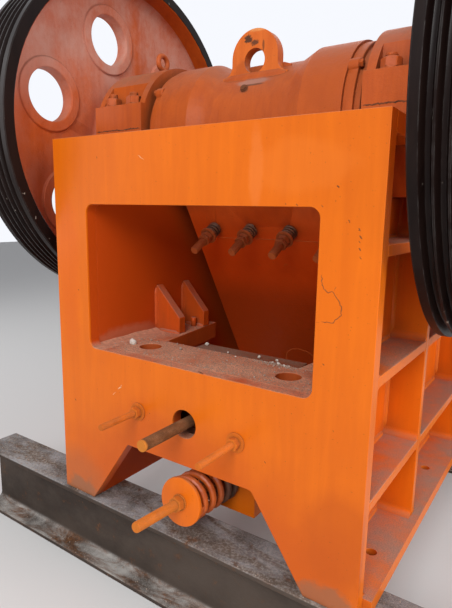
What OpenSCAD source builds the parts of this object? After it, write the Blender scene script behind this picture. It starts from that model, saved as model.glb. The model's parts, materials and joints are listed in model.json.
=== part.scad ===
// Single-toggle jaw crusher, seen from its rear (-Y) in use; the feed and the fixed jaw are towards +Y.
// Local frame of the dimensions below: y = 0 at the rear plate's rear face, z = 0 under the frame's feet.
// placed() puts the model on the floor line under its two support beams, centred front to back.

/* [Frame] */
// Depth of the side ribs and posts outside each side wall
rib_depth = 95; // [80:1:110]
// Height of the frame from its feet to the top edge
plate_h = 1060; // [1040:10:1080]
// Thickness of the rear plate
plate_t = 35; // [25:1:45]
// Length of the frame from the rear plate to the front edge of the side walls
frame_len = 1430; // [1400:10:1480]
// Clear width between the two side walls
inner_w = 700; // [690:5:710]
// Thickness of each side wall
wall_t = 35; // [25:1:40]
// Thickness of the side and front ribs and posts
rib_t = 24; // [16:1:30]
// Height of the top rib's band
top_rib_t = 43; // [30:1:60]
// Heights of the upper faces of the two lower side ribs; the third one is set under the bearing saddles
low_rib_levels = [263, 541];
// Distances from the rear face to the middle of each side post
post_places = [432, 1038];
// Height of the front wall's lower edge above the feet
front_low = 60; // [40:5:80]

/* [Rear plate] */
// Width of the window in the rear plate
window_w = 700; // [680:10:730]
// Height of the window's lower edge above the feet
window_low = 474; // [460:2:500]
// Height of the plate above the window
window_head = 180; // [160:5:220]
// Corner radius of the window
window_r = 24; // [10:1:60]
// Height of the notch between the two feet
notch_h = 213; // [200:1:220]
// Width of the notch at its top
notch_top_w = 418; // [380:2:440]
// Width of the notch between the feet
notch_foot_w = 704; // [640:2:720]

/* [Cross beam and adjusting gear] */
// Distance from the rear face to the front edge of the beam's floor
beam_depth = 240; // [220:5:260]
// Distance from the rear face to the front edge of the beam's shelf
shelf_depth = 190; // [180:2:200]
// Thickness of the beam's shelf and floor plates
beam_t = 30; // [20:1:32]
// Radius of the two round holes in the shelf
shelf_hole_r = 32; // [20:1:40]
// Places of the two shelf holes across the frame
shelf_hole_x = [-219, 235];
// Distance of the shelf holes from the rear face
shelf_hole_y = 115; // [90:1:130]
// Distance from the rear face to the front end of the guide arms
arm_end = 505; // [500:5:530]
// Width of each guide arm at its front end
arm_w = 86; // [80:1:110]
// Width of each guide arm at the shelf
arm_root_w = 127; // [110:1:135]
// Height of each guide arm
arm_t = 57; // [50:1:66]
// Distances from the rear face to the middle of each gusset
gusset_places = [300, 437];
// Height of the gussets above the arms
gusset_h = 150; // [120:2:170]
// Reach of each gusset from the side wall
gusset_reach = [99, 93];
// Thickness of the gussets
gusset_t = 30; // [20:1:34]
// Radius of the adjusting screw
screw_r = 15; // [12:0.5:16]
// Radius of the hole round the adjusting screw
screw_hole_r = 38; // [30:1:45]
// Height of the adjusting screw above the feet
screw_z = 328; // [320:1:334]
// How far the adjusting screw stands out behind the rear plate
screw_out = 156; // [120:1:180]
// Distance of each clamp rod from the middle
clamp_x = 160; // [140:2:180]
// Radius of the clamp rods
clamp_r = 9; // [7:0.5:11]
// How far the left and the right clamp rod stand out behind the rear plate
clamp_out = [136, 149];
// Width of the toggle plate; the adjusting block is wider by 10 on each side
toggle_w = 340; // [320:10:380]
// Length of the toggle plate between its two bearing ends
toggle_len = 385; // [375:1:390]
// Radius of the toggle plate's rounded ends
toggle_r = 22; // [18:1:24]
// Thickness of the toggle plate between its ends
toggle_t = 30; // [20:1:40]
// Slope of the toggle plate below the horizontal, in degrees
toggle_slope = 20; // [19:0.5:21]

/* [Shaft and wheels] */
// Distance from the rear face to the shaft axis
shaft_y = 424; // [415:1:430]
// Height of the shaft axis above the top edge of the frame
shaft_rise = 48; // [42:1:54]
// Throw of the eccentric
throw = 10; // [6:1:10]
// Radius of the eccentric part of the shaft
crank_r = 85; // [82:1:95]
// Radius of the main journals
journal_r = 70; // [60:1:72]
// Radius of the wheel seats
seat_r = 65; // [55:1:68]
// Distance from the middle to the end of the shaft
shaft_half = 760; // [750:5:800]
// Radius of the flywheels over the rim
wheel_r = 536; // [525:1:548]
// Radial thickness of the rim
rim_t = 35; // [30:1:50]
// Distance from the middle to the inner face of the rim
rim_inner_x = 535; // [530:1:545]
// Width of the rim
rim_w = 163; // [150:1:180]
// Number of V-grooves in the rim
groove_n = 5; // [3:1:6]
// Pitch of the V-grooves
groove_pitch = 25.5; // [22:0.5:27]
// Depth of the V-grooves
groove_depth = 18; // [12:0.5:20]
// Thickness of the wheel's web
web_t = 32; // [24:1:40]
// How far the web lies outside the middle of the rim
web_set = 27; // [0:1:32]
// Radius of the fillet between web and rim
web_fillet = 30; // [10:1:36]
// Radius of the wheel's hub
hub_r = 130; // [110:1:150]
// Number of round holes in each web
web_hole_n = 6; // [4:1:6]
// Radius of each web hole
web_hole_r = 79; // [60:1:84]
// Radius of the circle on which the web holes lie
web_hole_ring = 331; // [320:1:340]
// Outer radius of the raised ring round each web hole
web_boss_r = 110; // [95:1:115]
// Height of that raised ring above the web
web_boss_t = 8; // [4:1:12]
// Angle of the first web hole above the level line, in degrees
web_hole_turn = 41.4; // [0:0.1:60]

/* [Bearings] */
// Outer radius of the main and pitman bearings
bearing_r = 150; // [140:1:155]
// Distance from the middle to the inner face of the bearing caps
cap_inner_x = 340; // [337:1:342]
// Length of each bearing cap along the shaft
cap_w = 196; // [180:2:200]
// Radius of the cap's arch
cap_r = 208; // [200:1:212]
// Half of the cap's width over its two wings
wing_reach = 212; // [209:1:220]
// Height of the cap's wings
wing_h = 74; // [60:1:85]
// Distance of the cap bolts from the shaft axis
cap_bolt_y = 184; // [180:1:188]
// Half of the distance between two bolts on one wing
cap_bolt_x = 44; // [35:1:48]
// Radius of the cap bolts
cap_bolt_r = 14; // [10:1:15]
// Depth of the saddle blocks below the shaft axis
saddle_h = 200; // [180:5:220]
// Half of the saddle's width at its foot
saddle_reach = 150; // [130:5:160]

/* [Pitman] */
// Radius of the pitman's barrel in the middle
barrel_r = 181; // [176:1:185]
// Radius of the barrel's end sections
barrel_end_r = 205; // [198:1:207]
// Distance from the middle to the inner end of the end sections
barrel_step_x = 175; // [160:1:185]
// Length of the slope between the barrel and each end section
barrel_taper = 52; // [30:1:70]
// Half the length of the barrel
barrel_half = 288; // [284:1:290]
// Thickness of the ring covers on the barrel's ends
cover_t = 40; // [30:1:42]
// Gap between the pitman's body and each side wall
pitman_gap = 52; // [51:1:62]
// Distance from the rear face to the pitman's back plane, level with the window's upper edge
back_y = 375; // [370:1:380]
// Run of the back plane towards the front for each unit of drop
back_run = 0.6; // [0.57:0.01:0.62]
// Height of the pitman's lower edge above the feet
pitman_low = 110; // [100:1:120]
// Radius of the lifting lug's hole
lug_hole_r = 32; // [24:1:36]
// Outer radius of the lifting lug
lug_r = 72; // [66:1:80]
// Thickness of the lifting lug
lug_t = 30; // [24:1:34]
// Height of the lug's round top above the barrel's axis, at its middle
lug_rise = 181; // [176:1:190]
// Distance of the lug's hole below the middle of its round top
lug_hole_drop = 9; // [0:1:12]
// Distance of the lug's middle behind the shaft axis
lug_back = 110; // [100:1:114]

/* [Crushing chamber] */
// Distance from the rear face to the tips of the fixed jaw's teeth
fixed_face_y = 1120; // [1115:1:1130]
// Gap between the jaw plates and each cheek plate
jaw_gap = 20; // [15:1:30]
// Thickness of both jaw plates over the teeth
jaw_t = 55; // [45:1:60]
// Number of teeth across a jaw plate
tooth_n = 12; // [8:1:14]
// Height of a tooth
tooth_h = 18; // [10:1:22]
// Gape of the jaws at the height gape_z
gape = 400; // [390:5:405]
// Height at which the gape is measured
gape_z = 1000; // [990:5:1005]
// Gap of the jaws at the discharge, at the height discharge_z
discharge = 60; // [50:1:90]
// Height at which the discharge gap is measured
discharge_z = 190; // [180:1:195]
// Thickness of the cheek plates
cheek_t = 30; // [20:1:30]

/* [Jaw plate studs] */
// Places of the four studs across the pitman
stud_x = [-208, -69, 69, 208];
// Distance of the studs' feet below the top edge of the frame
stud_drop = 248; // [235:1:260]
// Radius of the studs
stud_r = 13; // [10:0.5:14]
// Length of the studs outside the pitman
stud_out = 133; // [110:1:140]
// Length of the springs under the studs' washers
stud_spring = 42; // [30:1:60]

/* [Tension rod and spring] */
// Slope of the tension rod, down towards the front, in degrees
rod_slope = 5; // [4:0.5:6]
// Radius of the tension rod
rod_r = 13.5; // [11:0.5:15]
// Height of the rod's axis above the feet at the rear plate
rod_z = 117; // [114:1:120]
// How far the rod stands out behind the rear plate
rod_out = 180; // [150:5:200]
// Radius of the spring plate
disc_r = 65; // [60:1:70]
// Thickness of the spring plate
disc_t = 12; // [8:1:16]
// Outer radius of the spring
spring_r = 62.5; // [58:0.5:66]
// Radius of the spring's wire
spring_wire = 9.5; // [8:0.5:10]
// Number of turns of the spring
spring_turns = 5.5; // [4:0.5:6]
// Distance from the rear face to the spring bracket
bracket_y = 185; // [180:1:195]

/* [Base] */
// How far the base flange stands out past the side ribs
flange_over = 20; // [15:1:30]
// Thickness of the base flange
flange_t = 33; // [25:1:40]
// Radius of the foundation bolt holes
bolt_hole_r = 14; // [11:1:18]
// Distance from the base flange's outer edge to the foundation bolt holes
bolt_edge = 59; // [54:1:64]
// Distances from the rear face to the foundation bolt holes
bolt_places = [202, 735, 1268];
// Length of the two support beams
support_len = 1900; // [1800:10:2000]
// Height of the support beams
support_h = 240; // [200:5:280]
// Width of the support beams' flanges
support_w = 140; // [120:2:160]
// Thickness of the support beams' flanges
support_flange_t = 14; // [10:1:18]
// Thickness of the support beams' webs
support_web_t = 10; // [8:1:14]
// How far each support beam stands out past the frame
support_out = 10; // [0:1:20]

/* [Hidden] */
$fn = 64;

orange = [0.85, 0.36, 0.10];
black = [0.08, 0.08, 0.09];
steel = [0.45, 0.42, 0.38];
dark = [0.22, 0.21, 0.20];
rust = [0.42, 0.30, 0.20];
manganese = [0.36, 0.34, 0.32];

fit = 0.05;
seat_gap = 0.3;
wall_out = inner_w / 2 + wall_t;
rib_out = wall_out + rib_depth;
plate_w = 2 * rib_out;
rib_drop = 98;
flange_half = rib_out + flange_over;
bolt_x = flange_half - bolt_edge;
shaft_z = plate_h + shaft_rise;
mid_y = (frame_len + support_out - rod_out) / 2;
crank_z = shaft_z - throw;
pitman_half = inner_w / 2 - pitman_gap;
jaw_w = inner_w - 2 * cheek_t - 2 * jaw_gap;
back_z = plate_h - 176;
stud_z = plate_h - stud_drop;
front_wall_t = 40;
front_wall_y = fixed_face_y + jaw_t;
window_high = plate_h - window_head;
shelf_top = window_low;
rib_levels = concat(low_rib_levels, [shaft_z - saddle_h - rib_drop]);
rib_edges = concat([flange_t], rib_levels, [plate_h - top_rib_t + rib_t]);
toggle_y = beam_depth + 82;
block_rear = 150;
block_front = toggle_y - 14;
block_top = shelf_top - beam_t - 1;
toggle_z = screw_z - 8;
clamp_z = screw_z - 4;
rod_grip = 60;
bracket_half = 108;
bracket_low = 6;
bracket_t = 50;
rod_clear = 7;
cap_outer_x = cap_inner_x + cap_w;
cap_mid_x = cap_inner_x + cap_w / 2;
hub_in = cap_outer_x + 24;
hub_out = shaft_half - 25;

// The jaws' geometry: the swing jaw's face runs from the gape to the discharge
jaw_drop = gape_z - discharge_z;
jaw_lean = atan2(gape - discharge, jaw_drop);
jaw_top = [fixed_face_y - gape, gape_z];
jaw_low = [fixed_face_y - discharge, discharge_z];
jaw_normal = [cos(jaw_lean), sin(jaw_lean)];
jaw_down = [sin(jaw_lean), -cos(jaw_lean)];
swing_len = jaw_drop / cos(jaw_lean) + 20;

// The back plane of the pitman
back_lean = atan(back_run);
back_out = [-cos(back_lean), -sin(back_lean)];

// The toggle plate's line, from its rear end to its front end
toggle_dir = [cos(toggle_slope), -sin(toggle_slope)];
toggle_up = [sin(toggle_slope), cos(toggle_slope)];
toggle_gap = 2 * throw;
seat_plate_t = 54;
seat_half = 50;
seat_at = toggle_len + toggle_r + toggle_gap;

rod_dir = [cos(rod_slope), -sin(rod_slope)];
disc_y = -10;
cover_turn = 145;
cover_lobe_r = 18;
ear_y = 720;
ear_t = 45;
ear_half = 45;
nut_t = 16;

function at(y, z, dir, along, up = [0, 0], rise = 0) =
    [y + dir[0] * along + up[0] * rise, z + dir[1] * along + up[1] * rise];
function back_plane(z) = back_y + back_run * (back_z - z);
function rod_height(y) = rod_z - (y - disc_y) * tan(rod_slope);
function cat(lists) = [for (l = lists) for (v = l) v];

// Puts local dimensions on the floor, centred front to back
module placed(tint) {
    color(tint) translate([0, -mid_y, support_h]) children();
}

// Extrudes an outline drawn in (y, z) along x, from x0 to x1
module across(x0, x1) {
    translate([x0, 0, 0]) rotate([90, 0, 90]) linear_extrude(x1 - x0) children();
}

// Extrudes an outline drawn in (x, z) along y, from y0 to y1
module along_y(y0, y1) {
    translate([0, y1, 0]) rotate([90, 0, 0]) linear_extrude(y1 - y0) children();
}

// A bar from x0 to x1, y0 to y1 and z0 to z1
module block(x0, x1, y0, y1, z0, z1) {
    translate([x0, y0, z0]) cube([x1 - x0, y1 - y0, z1 - z0]);
}

// A round bar along x at the given y and z
module bar_x(x0, x1, y, z, r) {
    translate([x0, y, z]) rotate([0, 90, 0]) cylinder(h = x1 - x0, r = r);
}

// A round bar along y at the given x and z
module bar_y(y0, y1, x, z, r) {
    translate([x, y0, z]) rotate([-90, 0, 0]) cylinder(h = y1 - y0, r = r);
}

module both_sides() {
    children();
    mirror([1, 0, 0]) children();
}

// A rectangle with round corners, centred
module rounded(w, h, r) {
    square([w - 2 * r, h], center = true);
    square([w, h - 2 * r], center = true);
    for (sx = [-1, 1], sy = [-1, 1]) translate([sx * (w / 2 - r), sy * (h / 2 - r)]) circle(r);
}

// A hexagon nut along z, by its width across flats
module nut(flats, t, r) {
    difference() {
        cylinder(h = t, r = flats / sqrt(3), $fn = 6);
        translate([0, 0, -1]) cylinder(h = t + 2, r = r);
    }
}

// A coil of round wire along z, from z = 0 to z = length, as one swept surface
module coil(outer_r, wire, length, turns, sides, steps) {
    n = round(turns * steps);
    mean = outer_r - wire;
    rise = (length - 2 * wire) / (turns - 1);
    function climb(a) = wire + rise * max(0, min(a - 0.5, turns - 1));
    points = cat([for (i = [0:n]) [for (k = [0:sides - 1])
        let (a = i / steps, u = 360 * k / sides, r = mean + wire * cos(u))
        [r * cos(360 * a), r * sin(360 * a), climb(a) + wire * sin(u)]]]);
    skin = cat([for (i = [0:n - 1]) [for (k = [0:sides - 1])
        let (a = i * sides + k, b = i * sides + (k + 1) % sides)
        [a, a + sides, b + sides, b]]]);
    ends = [[for (k = [0:sides - 1]) k], [for (k = [sides - 1:-1:0]) n * sides + k]];
    polyhedron(points, concat(skin, ends), convexity = 8);
}

// Carries a child drawn along +z into the slope of the tension rod, at the distance y from the rear face
module on_rod(y) {
    translate([0, y, rod_height(y)]) rotate([-90 - rod_slope, 0, 0]) children();
}

// Carries a child drawn along +z to the outside of the pitman's back plane, at a stud
module on_back(x) {
    translate([x, back_plane(stud_z), stud_z]) rotate([90 + back_lean, 0, 0]) children();
}

module rear_wall() {
    placed(orange) difference() {
        along_y(0, plate_t) difference() {
            translate([-plate_w / 2, 0]) square([plate_w, plate_h]);
            translate([0, (window_low + window_high) / 2])
                rounded(window_w, window_high - window_low, window_r);
            polygon([
                [-notch_foot_w / 2, -1], [notch_foot_w / 2, -1], [notch_foot_w / 2, 0],
                [notch_top_w / 2, notch_h - 6], [notch_top_w / 2 - 6, notch_h],
                [6 - notch_top_w / 2, notch_h], [-notch_top_w / 2, notch_h - 6], [-notch_foot_w / 2, 0]]);
        }
        bar_y(-1, plate_t + 1, 0, screw_z, screw_hole_r);
        for (s = [-1, 1]) bar_y(-1, plate_t + 1, s * clamp_x, clamp_z, clamp_r + 2);
    }
}

module shelf_plate() {
    placed(orange) difference() {
        block(-inner_w / 2, inner_w / 2, plate_t, shelf_depth, shelf_top - beam_t, shelf_top);
        for (x = shelf_hole_x) translate([x, shelf_hole_y, shelf_top - beam_t - 1])
            cylinder(h = beam_t + 2, r = shelf_hole_r);
    }
}

module beam_floor() {
    placed(orange) block(-inner_w / 2, inner_w / 2, plate_t, beam_depth, notch_h, notch_h + beam_t);
}

module guide_arms() {
    placed(orange) both_sides() translate([0, 0, shelf_top - arm_t]) linear_extrude(arm_t) polygon([
        [inner_w / 2, shelf_depth], [inner_w / 2, arm_end],
        [inner_w / 2 - arm_w, arm_end], [inner_w / 2 - arm_root_w, shelf_depth]]);
}

module guide_gussets() {
    nose = 0.34 * gusset_h;
    placed(orange) both_sides() for (i = [0:1])
        let (y = gusset_places[i], foot = inner_w / 2 - gusset_reach[i])
        along_y(y - gusset_t / 2, y + gusset_t / 2) polygon([
            [inner_w / 2, shelf_top], [inner_w / 2, shelf_top + gusset_h],
            [inner_w / 2 - 4, shelf_top + gusset_h], [foot, shelf_top + nose], [foot, shelf_top]]);
}

// Outline of a saddle block in (y, z), also cut out of the side walls
module saddle_outline() {
    polygon([
        [shaft_y - wing_reach, shaft_z], [shaft_y - wing_reach, plate_h - 20],
        [shaft_y - saddle_reach, shaft_z - saddle_h], [shaft_y + saddle_reach, shaft_z - saddle_h],
        [shaft_y + wing_reach, plate_h - 20], [shaft_y + wing_reach, shaft_z]]);
}

module side_wall() {
    across(inner_w / 2, wall_out) difference() {
        translate([plate_t, 0]) square([frame_len - plate_t, plate_h]);
        saddle_outline();
    }
}

module side_wall_left() {
    placed(orange) mirror([1, 0, 0]) side_wall();
}

module side_wall_right() {
    placed(orange) side_wall();
}

// Bays between the rear plate, the posts and the front posts, as [start, end] pairs
bay_starts = concat([plate_t], [for (y = post_places) y + rib_t / 2]);
bay_ends = concat([for (y = post_places) y - rib_t / 2], [frame_len - rib_t]);

module side_ribs() {
    placed(orange) both_sides() {
        for (z = rib_levels, i = [0:len(bay_starts) - 1])
            block(wall_out, rib_out, bay_starts[i], bay_ends[i], z - rib_t, z);
        block(wall_out, rib_out, plate_t, shaft_y - wing_reach, plate_h - top_rib_t, plate_h);
        block(wall_out, rib_out, shaft_y + wing_reach, bay_ends[1], plate_h - top_rib_t, plate_h);
        block(wall_out, rib_out, bay_starts[2], bay_ends[2], plate_h - top_rib_t, plate_h);
    }
}

module side_posts() {
    placed(orange) both_sides() {
        block(wall_out, rib_out, post_places[0] - rib_t / 2, post_places[0] + rib_t / 2,
            flange_t, shaft_z - saddle_h);
        block(wall_out, rib_out, post_places[1] - rib_t / 2, post_places[1] + rib_t / 2, flange_t, plate_h);
        block(wall_out, rib_out, frame_len - rib_t, frame_len, flange_t, plate_h);
    }
}

module base_flanges() {
    placed(orange) both_sides() difference() {
        block(wall_out, flange_half, plate_t, frame_len, 0, flange_t);
        for (y = bolt_places) translate([bolt_x, y, -1]) cylinder(h = flange_t + 2, r = bolt_hole_r);
    }
}

module bolt_spots() {
    for (sx = [-1, 1], sy = [-1, 1])
        translate([cap_mid_x + sx * cap_bolt_x, shaft_y + sy * cap_bolt_y, 0]) children();
}

bolt_depth = 56;
nut_room = 32;

module bearing_saddles() {
    placed(orange) both_sides() difference() {
        across(cap_inner_x, cap_outer_x) difference() {
            saddle_outline();
            translate([shaft_y, shaft_z]) circle(bearing_r);
        }
        bolt_spots() translate([0, 0, shaft_z - bolt_depth]) cylinder(h = bolt_depth + 1, r = cap_bolt_r);
    }
}

module bearing_cap() {
    difference() {
        across(cap_inner_x, cap_outer_x) difference() {
            union() {
                translate([shaft_y, shaft_z]) circle(cap_r);
                translate([shaft_y - wing_reach, shaft_z]) square([2 * wing_reach, wing_h]);
            }
            translate([shaft_y, shaft_z]) circle(bearing_r);
            translate([shaft_y - cap_r - 1, shaft_z - cap_r - 1]) square([2 * cap_r + 2, cap_r + 1]);
        }
        for (s = [-1, 1])
            translate([cap_mid_x, shaft_y + s * (cap_bolt_y - nut_room + cap_r / 2),
                shaft_z + wing_h + cap_r / 2])
                cube([2 * (cap_bolt_x + nut_room), cap_r, cap_r], center = true);
        bolt_spots() translate([0, 0, shaft_z - 1]) cylinder(h = wing_h + 2, r = cap_bolt_r);
        translate([cap_mid_x, shaft_y, shaft_z + cap_r - 20]) cylinder(h = 40, r = eye_shank_r);
    }
}

module bearing_cap_left() {
    placed(orange) mirror([1, 0, 0]) bearing_cap();
}

module bearing_cap_right() {
    placed(orange) bearing_cap();
}

eye_shank_r = 9;
eye_r = 22;
eye_wire = 8.5;

module cap_eyebolts() {
    placed(orange) both_sides() translate([cap_mid_x, shaft_y, shaft_z + cap_r - 20]) {
        cylinder(h = 26, r = eye_shank_r);
        translate([0, 0, 20]) cylinder(h = 6, r = 16);
        translate([0, 0, 24 + eye_r + eye_wire]) rotate([0, 90, 0])
            rotate_extrude() translate([eye_r, 0]) circle(eye_wire, $fn = 24);
    }
}

module cap_bolts() {
    placed(orange) both_sides() bolt_spots() translate([0, 0, shaft_z - bolt_depth]) {
        cylinder(h = bolt_depth + wing_h + 1.7 * cap_bolt_r + 16, r = cap_bolt_r);
        translate([0, 0, bolt_depth + wing_h]) nut(3 * cap_bolt_r, 1.7 * cap_bolt_r, cap_bolt_r - 1);
    }
}

module main_bearings() {
    placed(steel) both_sides() difference() {
        bar_x(cap_inner_x + 14, cap_outer_x - 14, shaft_y, shaft_z, bearing_r);
        bar_x(cap_inner_x, cap_outer_x, shaft_y, shaft_z, journal_r + fit);
    }
}

module bearing_covers() {
    placed(orange) both_sides() difference() {
        bar_x(cap_outer_x, cap_outer_x + 14, shaft_y, shaft_z, bearing_r + 20);
        bar_x(cap_outer_x - 1, cap_outer_x + 15, shaft_y, shaft_z, journal_r + 6);
    }
}

module front_wall() {
    ledge_z = discharge_z - 50;
    placed(orange) {
        block(-inner_w / 2, inner_w / 2, front_wall_y, front_wall_y + front_wall_t, front_low, plate_h);
        block(-jaw_w / 2, jaw_w / 2, fixed_face_y + tooth_h, front_wall_y, ledge_z - 40, ledge_z);
    }
}

front_post_x = [-130, 130];
front_set = 30;

module front_ribs() {
    inner = cat([for (x = front_post_x) [x - rib_t / 2, x + rib_t / 2]]);
    edges = concat([-inner_w / 2], inner, [inner_w / 2]);
    rib_y = front_wall_y + front_wall_t;
    placed(orange) for (z = concat(rib_levels, [plate_h, front_low + rib_t]), i = [0:len(front_post_x)])
        block(edges[2 * i], edges[2 * i + 1], rib_y, frame_len - front_set, z - rib_t, z);
}

module front_posts() {
    rib_y = front_wall_y + front_wall_t;
    placed(orange) for (x = front_post_x)
        block(x - rib_t / 2, x + rib_t / 2, rib_y, frame_len - front_set, front_low, plate_h);
}

// Section of a toothed plate: across x, thickness towards +y, with the back at y = 0
module toothed_section() {
    pitch = jaw_w / tooth_n;
    polygon(concat(
        [[-jaw_w / 2, 0]],
        cat([for (i = [0:tooth_n - 1]) let (x = -jaw_w / 2 + i * pitch)
            [[x, jaw_t - tooth_h], [x + pitch * 0.4, jaw_t], [x + pitch * 0.6, jaw_t]]]),
        [[jaw_w / 2, jaw_t - tooth_h], [jaw_w / 2, 0]]));
}

module fixed_jaw_plate() {
    low = discharge_z - 50;
    placed(manganese) translate([0, front_wall_y, low])
        linear_extrude(gape_z - low) mirror([0, 1]) toothed_section();
}

module cheek_plates() {
    placed(manganese) both_sides() across(inner_w / 2 - cheek_t, inner_w / 2) polygon([
        [front_wall_y, discharge_z - 40], [front_wall_y, gape_z], [jaw_top[0] - 20, gape_z],
        [jaw_low[0] - 120, discharge_z + 110], [jaw_low[0] - 40, discharge_z - 40]]);
}

module adjusting_block() {
    placed(steel) difference() {
        across(-toggle_w / 2 - 10, toggle_w / 2 + 10) difference() {
            polygon([
                [block_rear, notch_h + beam_t], [block_front, notch_h + beam_t],
                [block_front, toggle_z + 40], [block_front + 27, toggle_z + 52],
                [block_front + 27, block_top], [block_rear, block_top]]);
            translate([toggle_y, toggle_z]) circle(toggle_r);
        }
        bar_y(block_rear - 1, block_rear + rod_grip, 0, screw_z, screw_r);
        for (s = [-1, 1]) bar_y(block_rear - 1, block_rear + rod_grip, s * clamp_x, clamp_z, clamp_r);
    }
}

module adjusting_screw() {
    placed(rust) bar_y(-screw_out, block_rear + rod_grip, 0, screw_z, screw_r);
}

module clamp_rods() {
    placed(orange) for (s = [-1, 1]) {
        difference() {
            bar_y(-clamp_out[s < 0 ? 0 : 1], block_rear + rod_grip, s * clamp_x, clamp_z, clamp_r);
            bar_y(-20, -4, s * clamp_x, clamp_z, clamp_r - 1);
        }
        bar_y(-20, -4, s * clamp_x, clamp_z, clamp_r - 1);
        translate([s * clamp_x, -4, clamp_z]) rotate([90, 0, 0]) nut(3.2 * clamp_r, nut_t, clamp_r - 1);
        difference() {
            bar_y(-4, 0, s * clamp_x, clamp_z, clamp_r + 16);
            bar_y(-5, 1, s * clamp_x, clamp_z, clamp_r);
        }
    }
}

module toggle_plate() {
    tip = at(toggle_y, toggle_z, toggle_dir, toggle_len);
    placed(steel) across(-toggle_w / 2, toggle_w / 2) {
        translate([toggle_y, toggle_z]) circle(toggle_r);
        translate(tip) circle(toggle_r);
        translate([toggle_y, toggle_z]) rotate(-toggle_slope)
            translate([0, -toggle_t / 2]) square([toggle_len, toggle_t]);
    }
}

module spring_bracket() {
    placed(orange) difference() {
        block(-bracket_half, bracket_half, bracket_y, bracket_y + bracket_t, bracket_low, notch_h);
        translate([0, 0, throw]) on_rod(bracket_y - 30)
            cylinder(h = bracket_t + 60, r = rod_r + throw + rod_clear);
    }
}

disc_front = disc_y + disc_t / 2 * cos(rod_slope);
spring_len = (bracket_y - disc_front) / cos(rod_slope) - spring_r * tan(rod_slope) - 2 * seat_gap;

module tension_spring() {
    placed(dark) on_rod(disc_front) translate([0, 0, seat_gap])
        coil(spring_r, spring_wire, spring_len, spring_turns, 10, 20);
}

// Section of a rolled support beam in (y, z), with its upper face at z = 0 and its rear edge at y = 0
module support_section() {
    root = 16;
    translate([0, -support_flange_t]) square([support_w, support_flange_t]);
    translate([0, -support_h]) square([support_w, support_flange_t]);
    translate([(support_w - support_web_t) / 2, -support_h]) square([support_web_t, support_h]);
    for (s = [-1, 1], up = [0, 1])
        translate([support_w / 2 + s * support_web_t / 2,
            up == 1 ? -support_flange_t : support_flange_t - support_h])
            mirror([s < 0 ? 1 : 0, 0]) mirror([0, up]) difference() {
                square(root);
                translate([root, root]) circle(root);
            }
}

module support_beam(y) {
    across(-support_len / 2, support_len / 2) translate([y, 0]) support_section();
}

module support_beam_rear() {
    placed(dark) support_beam(-support_out);
}

module support_beam_front() {
    placed(dark) support_beam(frame_len + support_out - support_w);
}

module eccentric_shaft() {
    crank_half = barrel_half + cover_t;
    placed(steel) {
        bar_x(-crank_half, crank_half, shaft_y, crank_z, crank_r);
        both_sides() {
            bar_x(crank_half - 1, hub_in, shaft_y, shaft_z, journal_r);
            bar_x(hub_in - 1, shaft_half, shaft_y, shaft_z, seat_r);
        }
    }
}

web_x = rim_inner_x + (rim_w - web_t) / 2 + web_set;

// Section of the web: its distance from the axis along x, its place on the shaft along y
module web_section() {
    inside = wheel_r - rim_t;
    hub_fillet = 0.7 * web_fillet;
    side = concat(
        [for (a = [0:15:90]) [hub_r + hub_fillet * (1 - cos(a)), hub_fillet * (1 - sin(a))]],
        [for (a = [0:15:90]) [inside - web_fillet * (1 - sin(a)), web_fillet * (1 - cos(a))]]);
    polygon(concat(
        [[seat_r, web_x - side[0][1]]], [for (p = side) [p[0], web_x - p[1]]],
        [for (i = [len(side) - 1:-1:0]) [side[i][0], web_x + web_t + side[i][1]]],
        [[seat_r, web_x + web_t + side[0][1]]]));
}

module flywheel() {
    difference() {
        union() {
            translate([0, shaft_y, shaft_z]) rotate([0, 90, 0]) rotate_extrude($fn = 128) web_section();
            bar_x(hub_in, hub_out, shaft_y, shaft_z, hub_r);
            for (k = [0:web_hole_n - 1]) web_spot(k)
                bar_x(web_x - web_boss_t, web_x + web_t + web_boss_t, 0, 0, web_boss_r);
        }
        bar_x(hub_in - 1, hub_out + 1, shaft_y, shaft_z, seat_r);
        for (k = [0:web_hole_n - 1]) web_spot(k)
            bar_x(web_x - web_boss_t - 1, web_x + web_t + web_boss_t + 1, 0, 0, web_hole_r);
    }
}

module web_spot(k) {
    a = web_hole_turn + 360 * k / web_hole_n;
    translate([0, shaft_y + web_hole_ring * cos(a), shaft_z + web_hole_ring * sin(a)]) children();
}

module flywheel_left() {
    placed(orange) mirror([1, 0, 0]) flywheel();
}

module flywheel_right() {
    placed(orange) flywheel();
}

// The rim is revolved round x from its section: x along the shaft, y outwards
module rim() {
    land = (rim_w - groove_n * groove_pitch) / 2;
    top = groove_pitch * 0.84;
    bottom = groove_pitch * 0.36;
    grooves = cat([for (i = [0:groove_n - 1]) let (x = land + (i + 0.5) * groove_pitch)
        [[x - top / 2, wheel_r], [x - bottom / 2, wheel_r - groove_depth],
        [x + bottom / 2, wheel_r - groove_depth], [x + top / 2, wheel_r]]]);
    ends = [[rim_w, wheel_r], [rim_w, wheel_r - rim_t]];
    section = concat([[0, wheel_r - rim_t], [0, wheel_r]], grooves, ends);
    translate([rim_inner_x, shaft_y, shaft_z]) rotate([0, 90, 0]) rotate_extrude($fn = 128)
        polygon([for (p = section) [p[1], p[0]]]);
}

module rim_left() {
    placed(black) mirror([1, 0, 0]) rim();
}

module rim_right() {
    placed(black) rim();
}

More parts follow.
